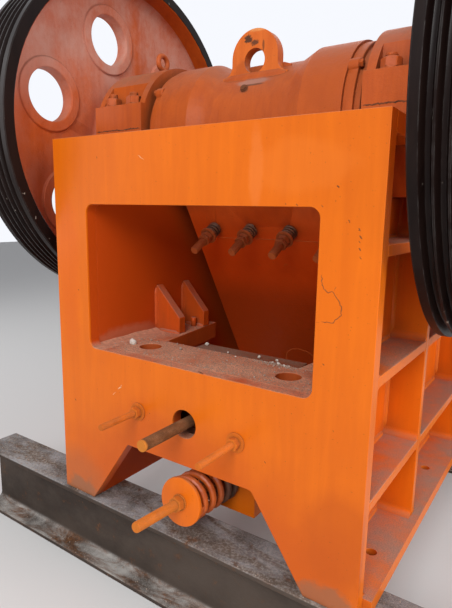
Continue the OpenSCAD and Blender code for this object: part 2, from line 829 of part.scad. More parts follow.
// Side outline of the pitman below its barrel, in (y, z)
module pitman_outline() {
    back_drop = 100;
    face = [for (p = [jaw_top, jaw_low]) p - jaw_normal * jaw_t];
    lip_low = face[1] + jaw_down * 50;
    seat_high = at(toggle_y, toggle_z, toggle_dir, seat_at + seat_plate_t, toggle_up, seat_half + 12);
    seat_low = at(toggle_y, toggle_z, toggle_dir, seat_at + seat_plate_t, toggle_up, -seat_half - 12);
    polygon([
        [back_plane(shaft_z - back_drop), shaft_z - back_drop],
        [back_plane(seat_high[1] + 30), seat_high[1] + 30],
        seat_high, seat_low, [seat_low[0] + 12, pitman_low - 14],
        lip_low + jaw_down * 10, lip_low + jaw_normal * 32, lip_low + jaw_normal * 32 - jaw_down * 28,
        lip_low - jaw_down * 28, face[0] - jaw_down * 66,
        [shaft_y + 0.94 * barrel_r, crank_z + 0.3 * barrel_r],
        [shaft_y + barrel_r / 2, crank_z + 0.8 * barrel_r], [shaft_y, crank_z]]);
}

module pitman() {
    flat_x = barrel_step_x - barrel_taper;
    relief_r = barrel_end_r + 10;
    placed(orange) difference() {
        union() {
            difference() {
                across(-pitman_half, pitman_half) pitman_outline();
                both_sides() bar_x(barrel_half, pitman_half + 1, shaft_y, crank_z, relief_r);
            }
            translate([0, shaft_y, crank_z]) rotate([0, 90, 0]) rotate_extrude() polygon([
                [0, -barrel_half], [barrel_end_r, -barrel_half], [barrel_end_r, -barrel_step_x],
                [barrel_r, -flat_x], [barrel_r, flat_x],
                [barrel_end_r, barrel_step_x], [barrel_end_r, barrel_half], [0, barrel_half]]);
            block(-ear_half, ear_half, ear_y, ear_y + ear_t, rod_height(ear_y) - 32, pitman_low - 6);
            block(-ear_half, ear_half, ear_y + ear_t - 1, ear_y + 3 * ear_t,
                pitman_low - 36, pitman_low + 12);
        }
        lug_bore(6, lug_hole_r + 4);
        bar_x(-barrel_half - 1, barrel_half + 1, shaft_y, crank_z, bearing_r);
        on_rod(ear_y - 20) cylinder(h = ear_t + 40, r = rod_r);
        for (x = stud_x) on_back(x) translate([0, 0, -60]) cylinder(h = 61, r = stud_r);
    }
}

module pitman_bearings() {
    placed(steel) both_sides() difference() {
        bar_x(barrel_step_x + 15, barrel_half, shaft_y, crank_z, bearing_r);
        bar_x(barrel_step_x, barrel_half + 1, shaft_y, crank_z, crank_r + fit);
    }
}

module barrel_covers() {
    flange_x = barrel_half + 0.65 * cover_t;
    placed(orange) both_sides() difference() {
        union() {
            across(barrel_half, flange_x) translate([shaft_y, crank_z]) {
                circle(barrel_end_r - 6);
                for (k = [0:5]) rotate(cover_turn + 60 * k) translate([barrel_end_r - 13, 0]) circle(cover_lobe_r);
            }
            bar_x(flange_x - 1, barrel_half + cover_t, shaft_y, crank_z, barrel_end_r - 17);
        }
        bar_x(barrel_half - 1, barrel_half + cover_t + 1, shaft_y, crank_z, crank_r + 6);
    }
}

// The lug's hole, or the room for it in the pitman, longer than the lug by the given amount at each end
module lug_bore(extra, r = lug_hole_r) {
    bar_y(shaft_y - lug_back - lug_t / 2 - extra, shaft_y - lug_back + lug_t / 2 + extra,
        0, crank_z + lug_rise - lug_hole_drop, r);
}

module lifting_lug() {
    top = crank_z + lug_rise;
    flare = 30;
    flare_z = top - 15;
    placed(orange) difference() {
        along_y(shaft_y - lug_back - lug_t / 2, shaft_y - lug_back + lug_t / 2) difference() {
            union() {
                translate([0, top]) circle(lug_r);
                translate([-lug_r, crank_z + lug_r]) square([2 * lug_r, lug_rise - lug_r]);
                translate([-lug_r - flare, crank_z + lug_r])
                    square([2 * (lug_r + flare), flare_z - crank_z - lug_r]);
            }
            for (s = [-1, 1]) translate([s * (lug_r + flare), flare_z]) circle(flare);
        }
        bar_x(-barrel_half, barrel_half, shaft_y, crank_z, barrel_r);
        lug_bore(1);
    }
}

module swing_jaw_plate() {
    top = jaw_top - jaw_normal * jaw_t;
    placed(manganese) translate([0, top[0], top[1]]) rotate([180 + jaw_lean, 0, 0])
        linear_extrude(swing_len) mirror([0, 1]) toothed_section();
}

module jaw_studs() {
    placed(steel) for (x = stud_x) on_back(x) {
        translate([0, 0, -60]) cylinder(h = 60 + stud_out, r = stud_r);
        translate([0, 0, stud_spring]) cylinder(h = 7, r = 2.1 * stud_r);
        translate([0, 0, stud_spring + 7]) cylinder(h = 16, r = 1.6 * stud_r, $fn = 6);
        translate([0, 0, stud_spring + 25]) cylinder(h = 10, r = 1.6 * stud_r, $fn = 6);
    }
}

module stud_springs() {
    placed(dark) for (x = stud_x) on_back(x) coil(1.75 * stud_r, 4, stud_spring, 4, 6, 12);
}

module toggle_seat() {
    placed(steel) across(-toggle_w / 2 - 5, toggle_w / 2 + 5) polygon([
        at(toggle_y, toggle_z, toggle_dir, seat_at, toggle_up, -seat_half),
        at(toggle_y, toggle_z, toggle_dir, seat_at + seat_plate_t, toggle_up, -seat_half),
        at(toggle_y, toggle_z, toggle_dir, seat_at + seat_plate_t, toggle_up, seat_half),
        at(toggle_y, toggle_z, toggle_dir, seat_at, toggle_up, seat_half)]);
}

module tension_rod() {
    tip_y = rod_r * sin(rod_slope) - rod_out;
    placed(orange) {
        on_rod(tip_y) cylinder(h = (ear_y + ear_t + 40 - tip_y) / cos(rod_slope), r = rod_r);
        on_rod(ear_y + ear_t) translate([0, 0, 4]) cylinder(h = 22, r = 1.6 * rod_r, $fn = 6);
        on_rod(disc_y) translate([0, 0, -disc_t / 2 - nut_t]) cylinder(h = nut_t, r = 1.6 * rod_r, $fn = 6);
    }
}

module spring_disc() {
    placed(orange) on_rod(disc_y) difference() {
        translate([0, 0, -disc_t / 2]) cylinder(h = disc_t, r = disc_r);
        translate([0, 0, -disc_t]) cylinder(h = 2 * disc_t, r = rod_r);
    }
}

rear_wall();
shelf_plate();
beam_floor();
guide_arms();
guide_gussets();
side_wall_left();
side_wall_right();
side_ribs();
side_posts();
base_flanges();
bearing_saddles();
bearing_cap_left();
bearing_cap_right();
main_bearings();
bearing_covers();
cap_bolts();
cap_eyebolts();
front_wall();
front_ribs();
front_posts();
fixed_jaw_plate();
cheek_plates();
adjusting_block();
adjusting_screw();
clamp_rods();
toggle_plate();
spring_bracket();
tension_spring();
support_beam_rear();
support_beam_front();
eccentric_shaft();
flywheel_left();
flywheel_right();
rim_left();
rim_right();
pitman();
lifting_lug();
barrel_covers();
pitman_bearings();
swing_jaw_plate();
jaw_studs();
stud_springs();
toggle_seat();
tension_rod();
spring_disc();
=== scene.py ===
"""Finishes a packed jaw crusher: its paint, rust and dust, and the small parts that the solids leave out.

Lengths in the code are metres. place() turns the machine's own millimetres, counted from the rear plate's
rear face and from under the frame's feet, into the shared frame.
"""

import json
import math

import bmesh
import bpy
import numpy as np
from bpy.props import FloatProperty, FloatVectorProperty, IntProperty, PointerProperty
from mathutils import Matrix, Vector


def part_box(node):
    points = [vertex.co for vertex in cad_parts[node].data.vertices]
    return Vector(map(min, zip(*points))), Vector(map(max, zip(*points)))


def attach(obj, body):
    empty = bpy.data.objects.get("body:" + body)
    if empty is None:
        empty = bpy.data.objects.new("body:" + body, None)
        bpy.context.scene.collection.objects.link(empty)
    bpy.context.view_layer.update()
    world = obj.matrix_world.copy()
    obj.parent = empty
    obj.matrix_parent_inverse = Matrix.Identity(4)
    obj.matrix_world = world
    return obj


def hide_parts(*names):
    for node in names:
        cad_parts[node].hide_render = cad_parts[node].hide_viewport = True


bl_info = {
    "name": "Jaw Crusher Finish",
    "version": (1, 0, 0),
    "blender": (4, 5, 0),
    "location": "View3D > Sidebar > Crusher",
    "description": "Paints a jaw crusher and adds its threads, welds, nuts, springs and grit",
    "category": "Object",
}

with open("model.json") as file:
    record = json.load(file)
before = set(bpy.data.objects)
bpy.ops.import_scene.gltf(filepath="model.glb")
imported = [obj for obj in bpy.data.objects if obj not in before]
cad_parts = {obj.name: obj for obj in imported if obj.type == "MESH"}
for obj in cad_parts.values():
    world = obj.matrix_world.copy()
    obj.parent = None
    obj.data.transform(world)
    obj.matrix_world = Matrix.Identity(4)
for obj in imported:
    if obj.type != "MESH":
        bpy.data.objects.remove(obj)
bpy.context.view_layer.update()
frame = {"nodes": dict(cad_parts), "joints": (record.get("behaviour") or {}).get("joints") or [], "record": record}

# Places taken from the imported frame
PLATE_LOW, PLATE_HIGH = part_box("rear_wall")
REAR_Y = PLATE_LOW.y
FEET_Z = PLATE_LOW.z
HALF_W = PLATE_HIGH.x
PLATE_H = PLATE_HIGH.z - PLATE_LOW.z
PLATE_T = PLATE_HIGH.y - PLATE_LOW.y
SHAFT = Vector(frame["joints"][0]["pos_m"])
CRANK = Vector(frame["joints"][1]["pos_m"])
BEAM_LOW, BEAM_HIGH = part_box("support_beam_rear")
SHELF_LOW, SHELF_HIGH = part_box("shelf_plate")
MM = 0.001
X_AXIS = np.array((1.0, 0.0, 0.0))
Y_AXIS = np.array((0.0, 1.0, 0.0))
Z_AXIS = np.array((0.0, 0.0, 1.0))
SLOTS = {p["node"]: p["material_slot"] for p in frame["record"]["subparts"]}


def place(x, y, z):
    """A point given in the machine's own millimetres, in the shared frame in metres."""
    return np.array((x * MM, REAR_Y + y * MM, FEET_Z + z * MM))


def machine(node):
    """A node's lowest and highest corner in the machine's own millimetres: the inverse of place()."""
    return [np.array((c.x, c.y - REAR_Y, c.z - FEET_Z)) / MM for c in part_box(node)]


class Shell:
    """Collects grids of points into one mesh of closed shells."""

    def __init__(self):
        self.points = []
        self.faces = []
        self.count = 0

    def grid(self, points, wrap_rows=False, wrap_cols=False, cap=False):
        """Joins a rows by cols grid of points with quads; cap closes the first and last row with a polygon."""
        rows, cols = points.shape[:2]
        i = np.arange(rows if wrap_rows else rows - 1)[:, None]
        j = np.arange(cols if wrap_cols else cols - 1)[None, :]
        down, right = (i + 1) % rows, (j + 1) % cols
        quads = np.stack([i * cols + j, i * cols + right, down * cols + right, down * cols + j], axis=-1)
        self.faces += (quads.reshape(-1, 4) + self.count).tolist()
        if cap:
            ring = np.arange(cols) + self.count
            self.faces.append(ring.tolist())
            self.faces.append((ring + (rows - 1) * cols)[::-1].tolist())
        self.points.append(points.reshape(-1, 3))
        self.count += rows * cols

    def object(self, name, smooth=40):
        """Makes the mesh: doubles are merged and the faces of each closed shell are turned outwards."""
        mesh = bpy.data.meshes.new(name)
        mesh.from_pydata(np.concatenate(self.points).tolist(), [], self.faces)
        work = bmesh.new()
        work.from_mesh(mesh)
        bmesh.ops.remove_doubles(work, verts=work.verts, dist=1e-6)
        bmesh.ops.recalc_face_normals(work, faces=work.faces)
        work.to_mesh(mesh)
        work.free()
        mesh.shade_smooth()
        mesh.set_sharp_from_angle(angle=math.radians(smooth))
        piece = bpy.data.objects.new(name, mesh)
        bpy.context.scene.collection.objects.link(piece)
        return piece


def basis(axis):
    """Two unit vectors square to an axis, and the axis itself at unit length."""
    w = np.array(axis, float)
    w /= np.linalg.norm(w)
    side = Z_AXIS if abs(w[2]) < 0.9 else X_AXIS
    u = np.cross(side, w)
    u /= np.linalg.norm(u)
    return u, np.cross(w, u), w


def revolved(profile, centre, axis, segments):
    """Turns a profile about an axis: p(i, a) = centre + h(i) w + r(i) (cos a u + sin a v)."""
    u, v, w = basis(axis)
    r, h = np.array(profile, float).T
    a = np.linspace(0, 2 * np.pi, segments, endpoint=False)
    ring = np.cos(a)[:, None] * u + np.sin(a)[:, None] * v
    return np.array(centre, float) + h[:, None, None] * w + r[:, None, None] * ring


def swept(path, profile, side):
    """Carries a flat profile along a path: p(i, k) = path(i) + a(k) N(i) + b(k) B(i).

    T is the path's tangent, N is square to T and nearest to side, and B = T x N.
    """
    tangent = np.gradient(path, axis=0)
    tangent /= np.linalg.norm(tangent, axis=1)[:, None]
    near = np.broadcast_to(side, path.shape)
    normal = near - (near * tangent).sum(1)[:, None] * tangent
    normal /= np.linalg.norm(normal, axis=1)[:, None]
    across = np.cross(tangent, normal)
    a, b = np.array(profile, float).T
    return path[:, None] + a[:, None] * normal[:, None] + b[:, None] * across[:, None]


def circle(radius, sides):
    """Points of a circle: (r cos a, r sin a)."""
    a = np.linspace(0, 2 * np.pi, sides, endpoint=False)
    return np.stack([radius * np.cos(a), radius * np.sin(a)], axis=1)


def threaded(start, end, radius, pitch, depth, segments=24):
    """A threaded bar: r(h, a) = radius - depth t, where t is the triangle wave of h / pitch - a / 2 pi.

    The last pitch at each end is tapered to the core, as a cut bar is.
    """
    start, end = np.array(start, float), np.array(end, float)
    length = np.linalg.norm(end - start)
    u, v, w = basis(end - start)
    rows = int(length / pitch * 4)
    h = np.linspace(0, length, rows)[:, None]
    a = np.linspace(0, 2 * np.pi, segments, endpoint=False)[None, :]
    turn = h / pitch - a / (2 * np.pi)
    wave = np.abs(2 * (turn - np.floor(turn)) - 1)
    fade = np.clip(np.minimum(h, length - h) / pitch, 0, 1)
    r = (radius - depth) + depth * (1 - wave) * fade
    ring = np.cos(a)[..., None] * u + np.sin(a)[..., None] * v
    return start + h[..., None] * w + r[..., None] * ring


def bar(start, end, radius, segments=24, chamfer=0.0012):
    """A round bar with chamfered ends, as the revolved profile of its four corners and its axis."""
    start, end = np.array(start, float), np.array(end, float)
    length = np.linalg.norm(end - start)
    profile = [
        (0, 0), (radius - chamfer, 0), (radius, chamfer),
        (radius, length - chamfer), (radius - chamfer, length), (0, length),
    ]
    return revolved(profile, start, end - start, segments)


def hex_nut(centre, axis, flats, thick, bore, segments=60, turn=0.0):
    """A chamfered nut: the side is r(a) = flats / 2 / cos(a mod 60 - 30), cut by a cone of 30 degrees at both ends."""
    u, v, w = basis(axis)
    a = np.linspace(0, 2 * np.pi, segments, endpoint=False)
    sector = np.mod(a - turn, np.pi / 3) - np.pi / 6
    side = flats / 2 / np.cos(sector)
    face = np.full(segments, flats / 2 * 0.96)
    inner = np.full(segments, bore)
    dip = (side - face) * math.tan(math.radians(30))
    rows = [(inner, 0), (face, 0), (side, dip), (side, thick - dip), (face, thick), (inner, thick)]
    r = np.stack([row[0] for row in rows])
    h = np.stack([np.broadcast_to(row[1], segments) for row in rows])
    ring = np.cos(a)[:, None] * u + np.sin(a)[:, None] * v
    return np.array(centre, float) + h[..., None] * w + r[..., None] * ring


def washer(centre, axis, outer, inner, thick, segments=40):
    """A flat ring with broken edges, as a revolved closed profile."""
    edge = 0.12 * thick
    profile = [
        (inner, 0), (outer - edge, 0), (outer, edge), (outer, thick - edge), (outer - edge, thick), (inner, thick),
    ]
    return revolved(profile, centre, axis, segments)


def coil_path(centre, axis, radius, length, turns, steps=48, phase=0.0):
    """A helix with flat end turns: p(t) = centre + r (cos t u + sin t v) + h(t) w, h eased at both ends."""
    u, v, w = basis(axis)
    t = np.linspace(0, turns, int(turns * steps))
    h = length * np.clip((t - 0.6) / (turns - 1.2), 0, 1)
    a = 2 * np.pi * t + phase
    ring = np.cos(a)[:, None] * u + np.sin(a)[:, None] * v
    return np.array(centre, float) + radius * ring + h[:, None] * w, ring


def weld(path, wall, floor, leg, ripple=0.0045, seed=0):
    """A fillet weld along a corner: a rounded triangle of that leg, swelling with each ripple along the path."""
    path = np.array(path, float)
    steps = np.linalg.norm(np.diff(path, axis=0), axis=1)
    along = np.concatenate([[0], np.cumsum(steps)])
    count = max(8, int(along[-1] / ripple * 5))
    s = np.linspace(0, along[-1], count)
    fine = np.stack([np.interp(s, along, path[:, k]) for k in range(3)], axis=1)
    rng = np.random.default_rng(seed)
    slow = np.interp(s, np.linspace(0, along[-1], 2 + count // 60), 1 + 0.16 * (rng.random(2 + count // 60) - 0.5))
    size = leg * slow * (1 + 0.07 * np.abs(np.sin(np.pi * s / ripple)))
    size *= 0.35 + 0.65 * np.clip(np.minimum(s, along[-1] - s) / (2 * leg), 0, 1)
    wall, floor = np.array(wall, float), np.array(floor, float)
    angle = np.linspace(0, np.pi / 2, 6)
    bulge = 0.75 + 0.12 * np.sin(2 * angle)
    a = np.concatenate([[-0.25, 1.0], (bulge * np.cos(angle))[1:-1], [0.0]])
    b = np.concatenate([[-0.25, 0.0], (bulge * np.sin(angle))[1:-1], [1.0]])
    return fine[:, None] + size[:, None, None] * (a[:, None] * floor + b[:, None] * wall)


def softened(node, width, segments=2, name=None, angle=32):
    """A copy of a CAD node with its doubles merged, its flat faces joined and its sharp edges rounded."""
    source = frame["nodes"][node]
    work = bmesh.new()
    work.from_mesh(source.data)
    bmesh.ops.remove_doubles(work, verts=work.verts, dist=2e-5)
    bmesh.ops.dissolve_limit(
        work, angle_limit=math.radians(0.6), verts=work.verts, edges=work.edges, use_dissolve_boundaries=False)
    mesh = bpy.data.meshes.new(name or node + "_finished")
    work.to_mesh(mesh)
    work.free()
    piece = bpy.data.objects.new(mesh.name, mesh)
    bpy.context.scene.collection.objects.link(piece)
    bevel = piece.modifiers.new("Rounded edges", "BEVEL")
    bevel.width = width
    bevel.segments = segments
    bevel.limit_method = "ANGLE"
    bevel.angle_limit = math.radians(angle)
    bevel.use_clamp_overlap = True
    bevel.harden_normals = False
    mesh.shade_smooth()
    mesh.set_sharp_from_angle(angle=math.radians(angle))
    return piece


def fit(piece, material, body, replaces=()):
    """Gives a finished piece its material and its body, and hides the CAD nodes that it stands for."""
    piece.data.materials.clear()
    piece.data.materials.append(material)
    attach(piece, body)
    if replaces:
        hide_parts(*replaces)
    return piece


class Graph:
    """Short calls for building a shader tree."""

    def __init__(self, tree):
        self.tree = tree

    def add(self, kind, **settings):
        node = self.tree.nodes.new(kind)
        for key, value in settings.items():
            setattr(node, key, value)
        return node

    def feed(self, socket, value):
        if isinstance(value, bpy.types.NodeSocket):
            self.tree.links.new(value, socket)
        elif value is not None:
            socket.default_value = value

    def math(self, operation, a, b=None, clamp=False):
        node = self.add("ShaderNodeMath", operation=operation, use_clamp=clamp)
        self.feed(node.inputs[0], a)
        self.feed(node.inputs[1], b)
        return node.outputs[0]

    def mix(self, factor, a, b, blend="MIX"):
        node = self.add("ShaderNodeMix", data_type="RGBA", blend_type=blend)
        self.feed(node.inputs["Factor"], factor)
        self.feed(node.inputs["A"], a)
        self.feed(node.inputs["B"], b)
        return node.outputs["Result"]

    def blend(self, factor, a, b):
        node = self.add("ShaderNodeMix", data_type="FLOAT")
        self.feed(node.inputs["Factor"], factor)
        self.feed(node.inputs["A"], a)
        self.feed(node.inputs["B"], b)
        return node.outputs["Result"]

    def noise(self, vector, scale, detail=3.0, roughness=0.55, distortion=0.0):
        node = self.add("ShaderNodeTexNoise")
        self.feed(node.inputs["Vector"], vector)
        self.feed(node.inputs["Scale"], scale)
        node.inputs["Detail"].default_value = detail
        node.inputs["Roughness"].default_value = roughness
        node.inputs["Distortion"].default_value = distortion
        return node.outputs["Fac"]

    def ramp(self, value, low, high):
        """0 below low, 1 above high, smooth between."""
        node = self.add("ShaderNodeMapRange", interpolation_type="SMOOTHSTEP")
        self.feed(node.inputs["Value"], value)
        self.feed(node.inputs["From Min"], low)
        self.feed(node.inputs["From Max"], high)
        return node.outputs["Result"]

    def stretch(self, vector, scale):
        node = self.add("ShaderNodeMapping")
        self.feed(node.inputs["Vector"], vector)
        node.inputs["Scale"].default_value = scale
        return node.outputs["Vector"]

    def bump(self, height, strength, distance, normal=None):
        node = self.add("ShaderNodeBump")
        self.feed(node.inputs["Height"], height)
        self.feed(node.inputs["Normal"], normal)
        node.inputs["Strength"].default_value = strength
        node.inputs["Distance"].default_value = distance
        return node.outputs["Normal"]


def shader_group(name, inputs, outputs, build):
    """A node group made once: inputs and outputs are (name, kind, default), and build(graph, ins) returns the outputs."""
    if name in bpy.data.node_groups:
        return bpy.data.node_groups[name]
    tree = bpy.data.node_groups.new(name, "ShaderNodeTree")
    for label, kind, default in inputs:
        socket = tree.interface.new_socket(label, in_out="INPUT", socket_type=kind)
        if default is not None:
            socket.default_value = default
    for label, kind in outputs:
        tree.interface.new_socket(label, in_out="OUTPUT", socket_type=kind)
    graph = Graph(tree)
    entry = graph.add("NodeGroupInput")
    leave = graph.add("NodeGroupOutput")
    made = build(graph, {s.name: s for s in entry.outputs if s.name})
    for label, kind in outputs:
        graph.feed(leave.inputs[label], made[label])
    return tree


FLOAT, COLOUR, VECTOR = "NodeSocketFloat", "NodeSocketColor", "NodeSocketVector"


def settled_dust():
    """Dust on what faces up: the upward part of the normal, broken up by noise."""

    def build(g, ins):
        coords = g.add("ShaderNodeTexCoord")
        split = g.add("ShaderNodeSeparateXYZ")
        g.feed(split.inputs[0], coords.outputs["Normal"])
        patch = g.noise(coords.outputs["Object"], 7.0, 5.0, 0.62)
        speck = g.noise(coords.outputs["Object"], 330.0, 3.0, 0.6)
        up = g.ramp(split.outputs["Z"], 0.25, 0.95)
        broken = g.ramp(g.math("ADD", g.math("MULTIPLY", patch, 0.75), g.math("MULTIPLY", speck, 0.35)), 0.30, 0.72)
        amount = g.math("MULTIPLY", g.math("MULTIPLY", up, broken), ins["Amount"], clamp=True)
        return {"Mask": amount, "Grain": speck}

    return shader_group("Settled dust", [("Amount", FLOAT, 0.6)], [("Mask", FLOAT), ("Grain", FLOAT)], build)


def worn_edge():
    """Bare or rubbed edges: where a normal rounded over the radius leaves the true one, broken up by noise."""

    def build(g, ins):
        coords = g.add("ShaderNodeTexCoord")
        geometry = g.add("ShaderNodeNewGeometry")
        rounded = g.add("ShaderNodeBevel", samples=4)
        g.feed(rounded.inputs["Radius"], ins["Radius"])
        dot = g.add("ShaderNodeVectorMath", operation="DOT_PRODUCT")
        g.feed(dot.inputs[0], rounded.outputs["Normal"])
        g.feed(dot.inputs[1], geometry.outputs["Normal"])
        bend = g.math("SUBTRACT", 1.0, dot.outputs["Value"])
        broken = g.ramp(g.noise(coords.outputs["Object"], 22.0, 5.0, 0.7), 0.42, 0.62)
        return {"Mask": g.math("MULTIPLY", g.ramp(bend, 0.03, 0.16), broken, clamp=True)}

    return shader_group("Worn edge", [("Radius", FLOAT, 0.004)], [("Mask", FLOAT)], build)


def corner_dirt_and_shade():
    """Dirt and painted shade in corners and under ledges, from how much of the sky near the surface is closed off."""

    def build(g, ins):
        coords = g.add("ShaderNodeTexCoord")
        open_sky = g.add("ShaderNodeAmbientOcclusion", samples=4)
        g.feed(open_sky.inputs["Distance"], ins["Reach"])
        shut = g.math("SUBTRACT", 1.0, open_sky.outputs["AO"])
        cloud = g.noise(coords.outputs["Object"], 14.0, 6.0, 0.65)
        return {"Mask": g.math("MULTIPLY", g.ramp(g.math("MULTIPLY", shut, g.math("ADD", cloud, 0.6)), 0.22, 0.85),
                               ins["Amount"], clamp=True)}

    return shader_group("Corner dirt and shade", [("Reach", FLOAT, 0.06), ("Amount", FLOAT, 0.6)], [("Mask", FLOAT)], build)


def brushed_coat():
    """Brush-laid enamel: long soft strokes, small runs and pinholes, as a height and a tone from 0 to 1."""

    def build(g, ins):
        coords = g.add("ShaderNodeTexCoord")
        strokes = g.noise(g.stretch(coords.outputs["Object"], (34.0, 34.0, 3.2)), 1.0, 4.0, 0.6, 0.6)
        pool = g.noise(coords.outputs["Object"], 2.6, 4.0, 0.55)
        skin = g.noise(coords.outputs["Object"], 90.0, 3.0, 0.5)
        pits = g.ramp(g.noise(coords.outputs["Object"], 240.0, 1.0, 0.5), 0.73, 0.80)
        height = g.math("ADD", g.math("MULTIPLY", strokes, 0.5), g.math("MULTIPLY", skin, 0.35))
        height = g.math("SUBTRACT", height, g.math("MULTIPLY", pits, 0.4))
        tone = g.math("ADD", g.math("MULTIPLY", strokes, 0.45), g.math("MULTIPLY", pool, 0.55))
        return {"Height": height, "Tone": tone, "Pits": pits}

    return shader_group("Brushed coat", [], [("Height", FLOAT), ("Tone", FLOAT), ("Pits", FLOAT)], build)


def cast_skin():
    """The skin of a sand casting: shallow lumps with a fine grain over them."""

    def build(g, ins):
        coords = g.add("ShaderNodeTexCoord")
        lumps = g.noise(coords.outputs["Object"], ins["Scale"], 4.0, 0.55)
        grain = g.noise(coords.outputs["Object"], 210.0, 3.0, 0.6)
        return {"Height": g.math("ADD", g.math("MULTIPLY", lumps, 0.7), g.math("MULTIPLY", grain, 0.3))}

    return shader_group("Cast skin", [("Scale", FLOAT, 38.0)], [("Height", FLOAT)], build)


def local_mark():
    """A local patch of colour, used for stains, fading, painted light and painted shade: an ellipsoid about a centre,
    |(P - Centre) / Reach| + noise, soft at its edge.
    """

    def build(g, ins):
        coords = g.add("ShaderNodeTexCoord")
        away = g.add("ShaderNodeVectorMath", operation="SUBTRACT")
        g.feed(away.inputs[0], coords.outputs["Object"])
        g.feed(away.inputs[1], ins["Centre"])
        scaled = g.add("ShaderNodeVectorMath", operation="DIVIDE")
        g.feed(scaled.inputs[0], away.outputs[0])
        g.feed(scaled.inputs[1], ins["Reach"])
        length = g.add("ShaderNodeVectorMath", operation="LENGTH")
        g.feed(length.inputs[0], scaled.outputs[0])
        cloud = g.noise(coords.outputs["Object"], ins["Grain"], 5.0, 0.65)
        far = g.math("ADD", length.outputs["Value"], g.math("MULTIPLY", g.math("SUBTRACT", cloud, 0.5), ins["Ragged"]))
        return {"Mask": g.math("SUBTRACT", 1.0, g.ramp(far, 0.55, 1.0))}

    return shader_group(
        "Local mark",
        [("Centre", VECTOR, None), ("Reach", VECTOR, None), ("Ragged", FLOAT, 0.8), ("Grain", FLOAT, 20.0)],
        [("Mask", FLOAT)], build)


def use(graph, tree, **values):
    """Places a group in a material with its own values and returns its node."""
    node = graph.add("ShaderNodeGroup", node_tree=tree)
    for label, value in values.items():
        graph.feed(node.inputs[label], value)
    return node


def new_material(name):
    """An empty material with its Principled shader joined to the output, and a graph to build on."""
    material = bpy.data.materials.new(name)
    material.use_nodes = True
    material.node_tree.nodes.clear()
    graph = Graph(material.node_tree)
    surface = graph.add("ShaderNodeBsdfPrincipled")
    output = graph.add("ShaderNodeOutputMaterial")
    material.node_tree.links.new(surface.outputs[0], output.inputs[0])
    return material, graph, surface


def enamel(name, colour, deep, dust_colour, dust, dirt_and_shade, rough, cast=0.0, worn=0.5, film=0.0, marks=(), inside=None,
           behind=-9.0):
    """Painted metal: brushed enamel over plate or casting, with dirt and painted shade in its corners and dust on top.

    film is the share of a pale pinkish bloom that has dried on it in patches, most above the shaft. Each mark is
    (centre, reach, colour, share, ragged, grain) in the machine's millimetres; marks are used for stains, fading,
    painted light and painted shade. inside is a painted shade colour between the side walls, where |x| is under
    367 mm and y is over behind, in metres.
    """
    material, g, surface = new_material(name)
    coat = use(g, brushed_coat())
    lying = use(g, settled_dust(), Amount=dust)
    dirt_and_shade_group = use(g, corner_dirt_and_shade(), Reach=0.07, Amount=dirt_and_shade)
    edge = use(g, worn_edge(), Radius=0.004)
    skin = use(g, cast_skin(), Scale=36.0)
    paint = g.mix(g.ramp(coat.outputs["Tone"], 0.30, 0.70), deep, colour)
    if inside:
        split = g.add("ShaderNodeSeparateXYZ")
        g.feed(split.inputs[0], g.add("ShaderNodeTexCoord").outputs["Object"])
        within = g.math("SUBTRACT", 1.0, g.ramp(g.math("ABSOLUTE", split.outputs["X"]), 0.364, 0.370))
        within = g.math("MULTIPLY", within, g.ramp(split.outputs["Y"], behind, behind + 0.003))
        paint = g.mix(within, paint, inside)
    if film:
        coords = g.add("ShaderNodeTexCoord").outputs["Object"]
        cloud = g.noise(g.stretch(coords, (4.5, 4.5, 3.2)), 1.0, 8.0, 0.70)
        streak = g.ramp(g.math("ADD", g.math("MULTIPLY", cloud, 0.85), g.math("MULTIPLY", coat.outputs["Tone"], 0.15)),
                        0.30, 0.66)
        split = g.add("ShaderNodeSeparateXYZ")
        g.feed(split.inputs[0], coords)
        high = g.ramp(split.outputs["Z"], FEET_Z + 1.12, FEET_Z + 1.40)
        streak = g.math("MULTIPLY", streak, g.math("ADD", g.math("MULTIPLY", high, 0.7 * film), 0.3 * film), clamp=True)
        paint = g.mix(streak, paint, (0.64, 0.335, 0.262, 1))
    # each mark's colour is a stain, faded paint, painted light or painted shade, as listed in its table
    for centre, reach, stain_and_painted_light, share, ragged, grain in marks:
        spot = use(g, local_mark(), Centre=tuple(place(*centre)), Reach=tuple(c * MM for c in reach), Ragged=ragged,
                   Grain=grain)
        paint = g.mix(g.math("MULTIPLY", spot.outputs["Mask"], share), paint, stain_and_painted_light)
    paint = g.mix(g.math("MULTIPLY", coat.outputs["Pits"], 0.55), paint, (0.16, 0.045, 0.012, 1))
    paint = g.mix(g.math("MULTIPLY", edge.outputs["Mask"], worn), paint, (0.34, 0.14, 0.06, 1))
    # dirt and painted shade: corners and recesses darkened towards dark brown, by how closed off they are
    paint = g.mix(g.math("MULTIPLY", dirt_and_shade_group.outputs["Mask"], 0.85), paint, (0.10, 0.045, 0.022, 1))
    tone = g.mix(g.ramp(lying.outputs["Grain"], 0.35, 0.65), dust_colour, (0.27, 0.18, 0.13, 1))
    paint = g.mix(lying.outputs["Mask"], paint, tone)
    g.feed(surface.inputs["Base Color"], paint)
    dull = g.math("ADD", g.math("MULTIPLY", lying.outputs["Mask"], 0.5), g.math("MULTIPLY", dirt_and_shade_group.outputs["Mask"], 0.3))
    g.feed(surface.inputs["Roughness"], g.math("ADD", g.math("MULTIPLY", coat.outputs["Tone"], 0.18),
                                               g.math("ADD", dull, rough - 0.09), clamp=True))
    normal = g.bump(coat.outputs["Height"], 0.32, 0.0016)
    if cast:
        normal = g.bump(skin.outputs["Height"], cast, 0.004, normal)
    g.feed(surface.inputs["Normal"], g.bump(lying.outputs["Grain"], 0.10, 0.0008, normal))
    surface.inputs["Specular IOR Level"].default_value = 0.22
    return material


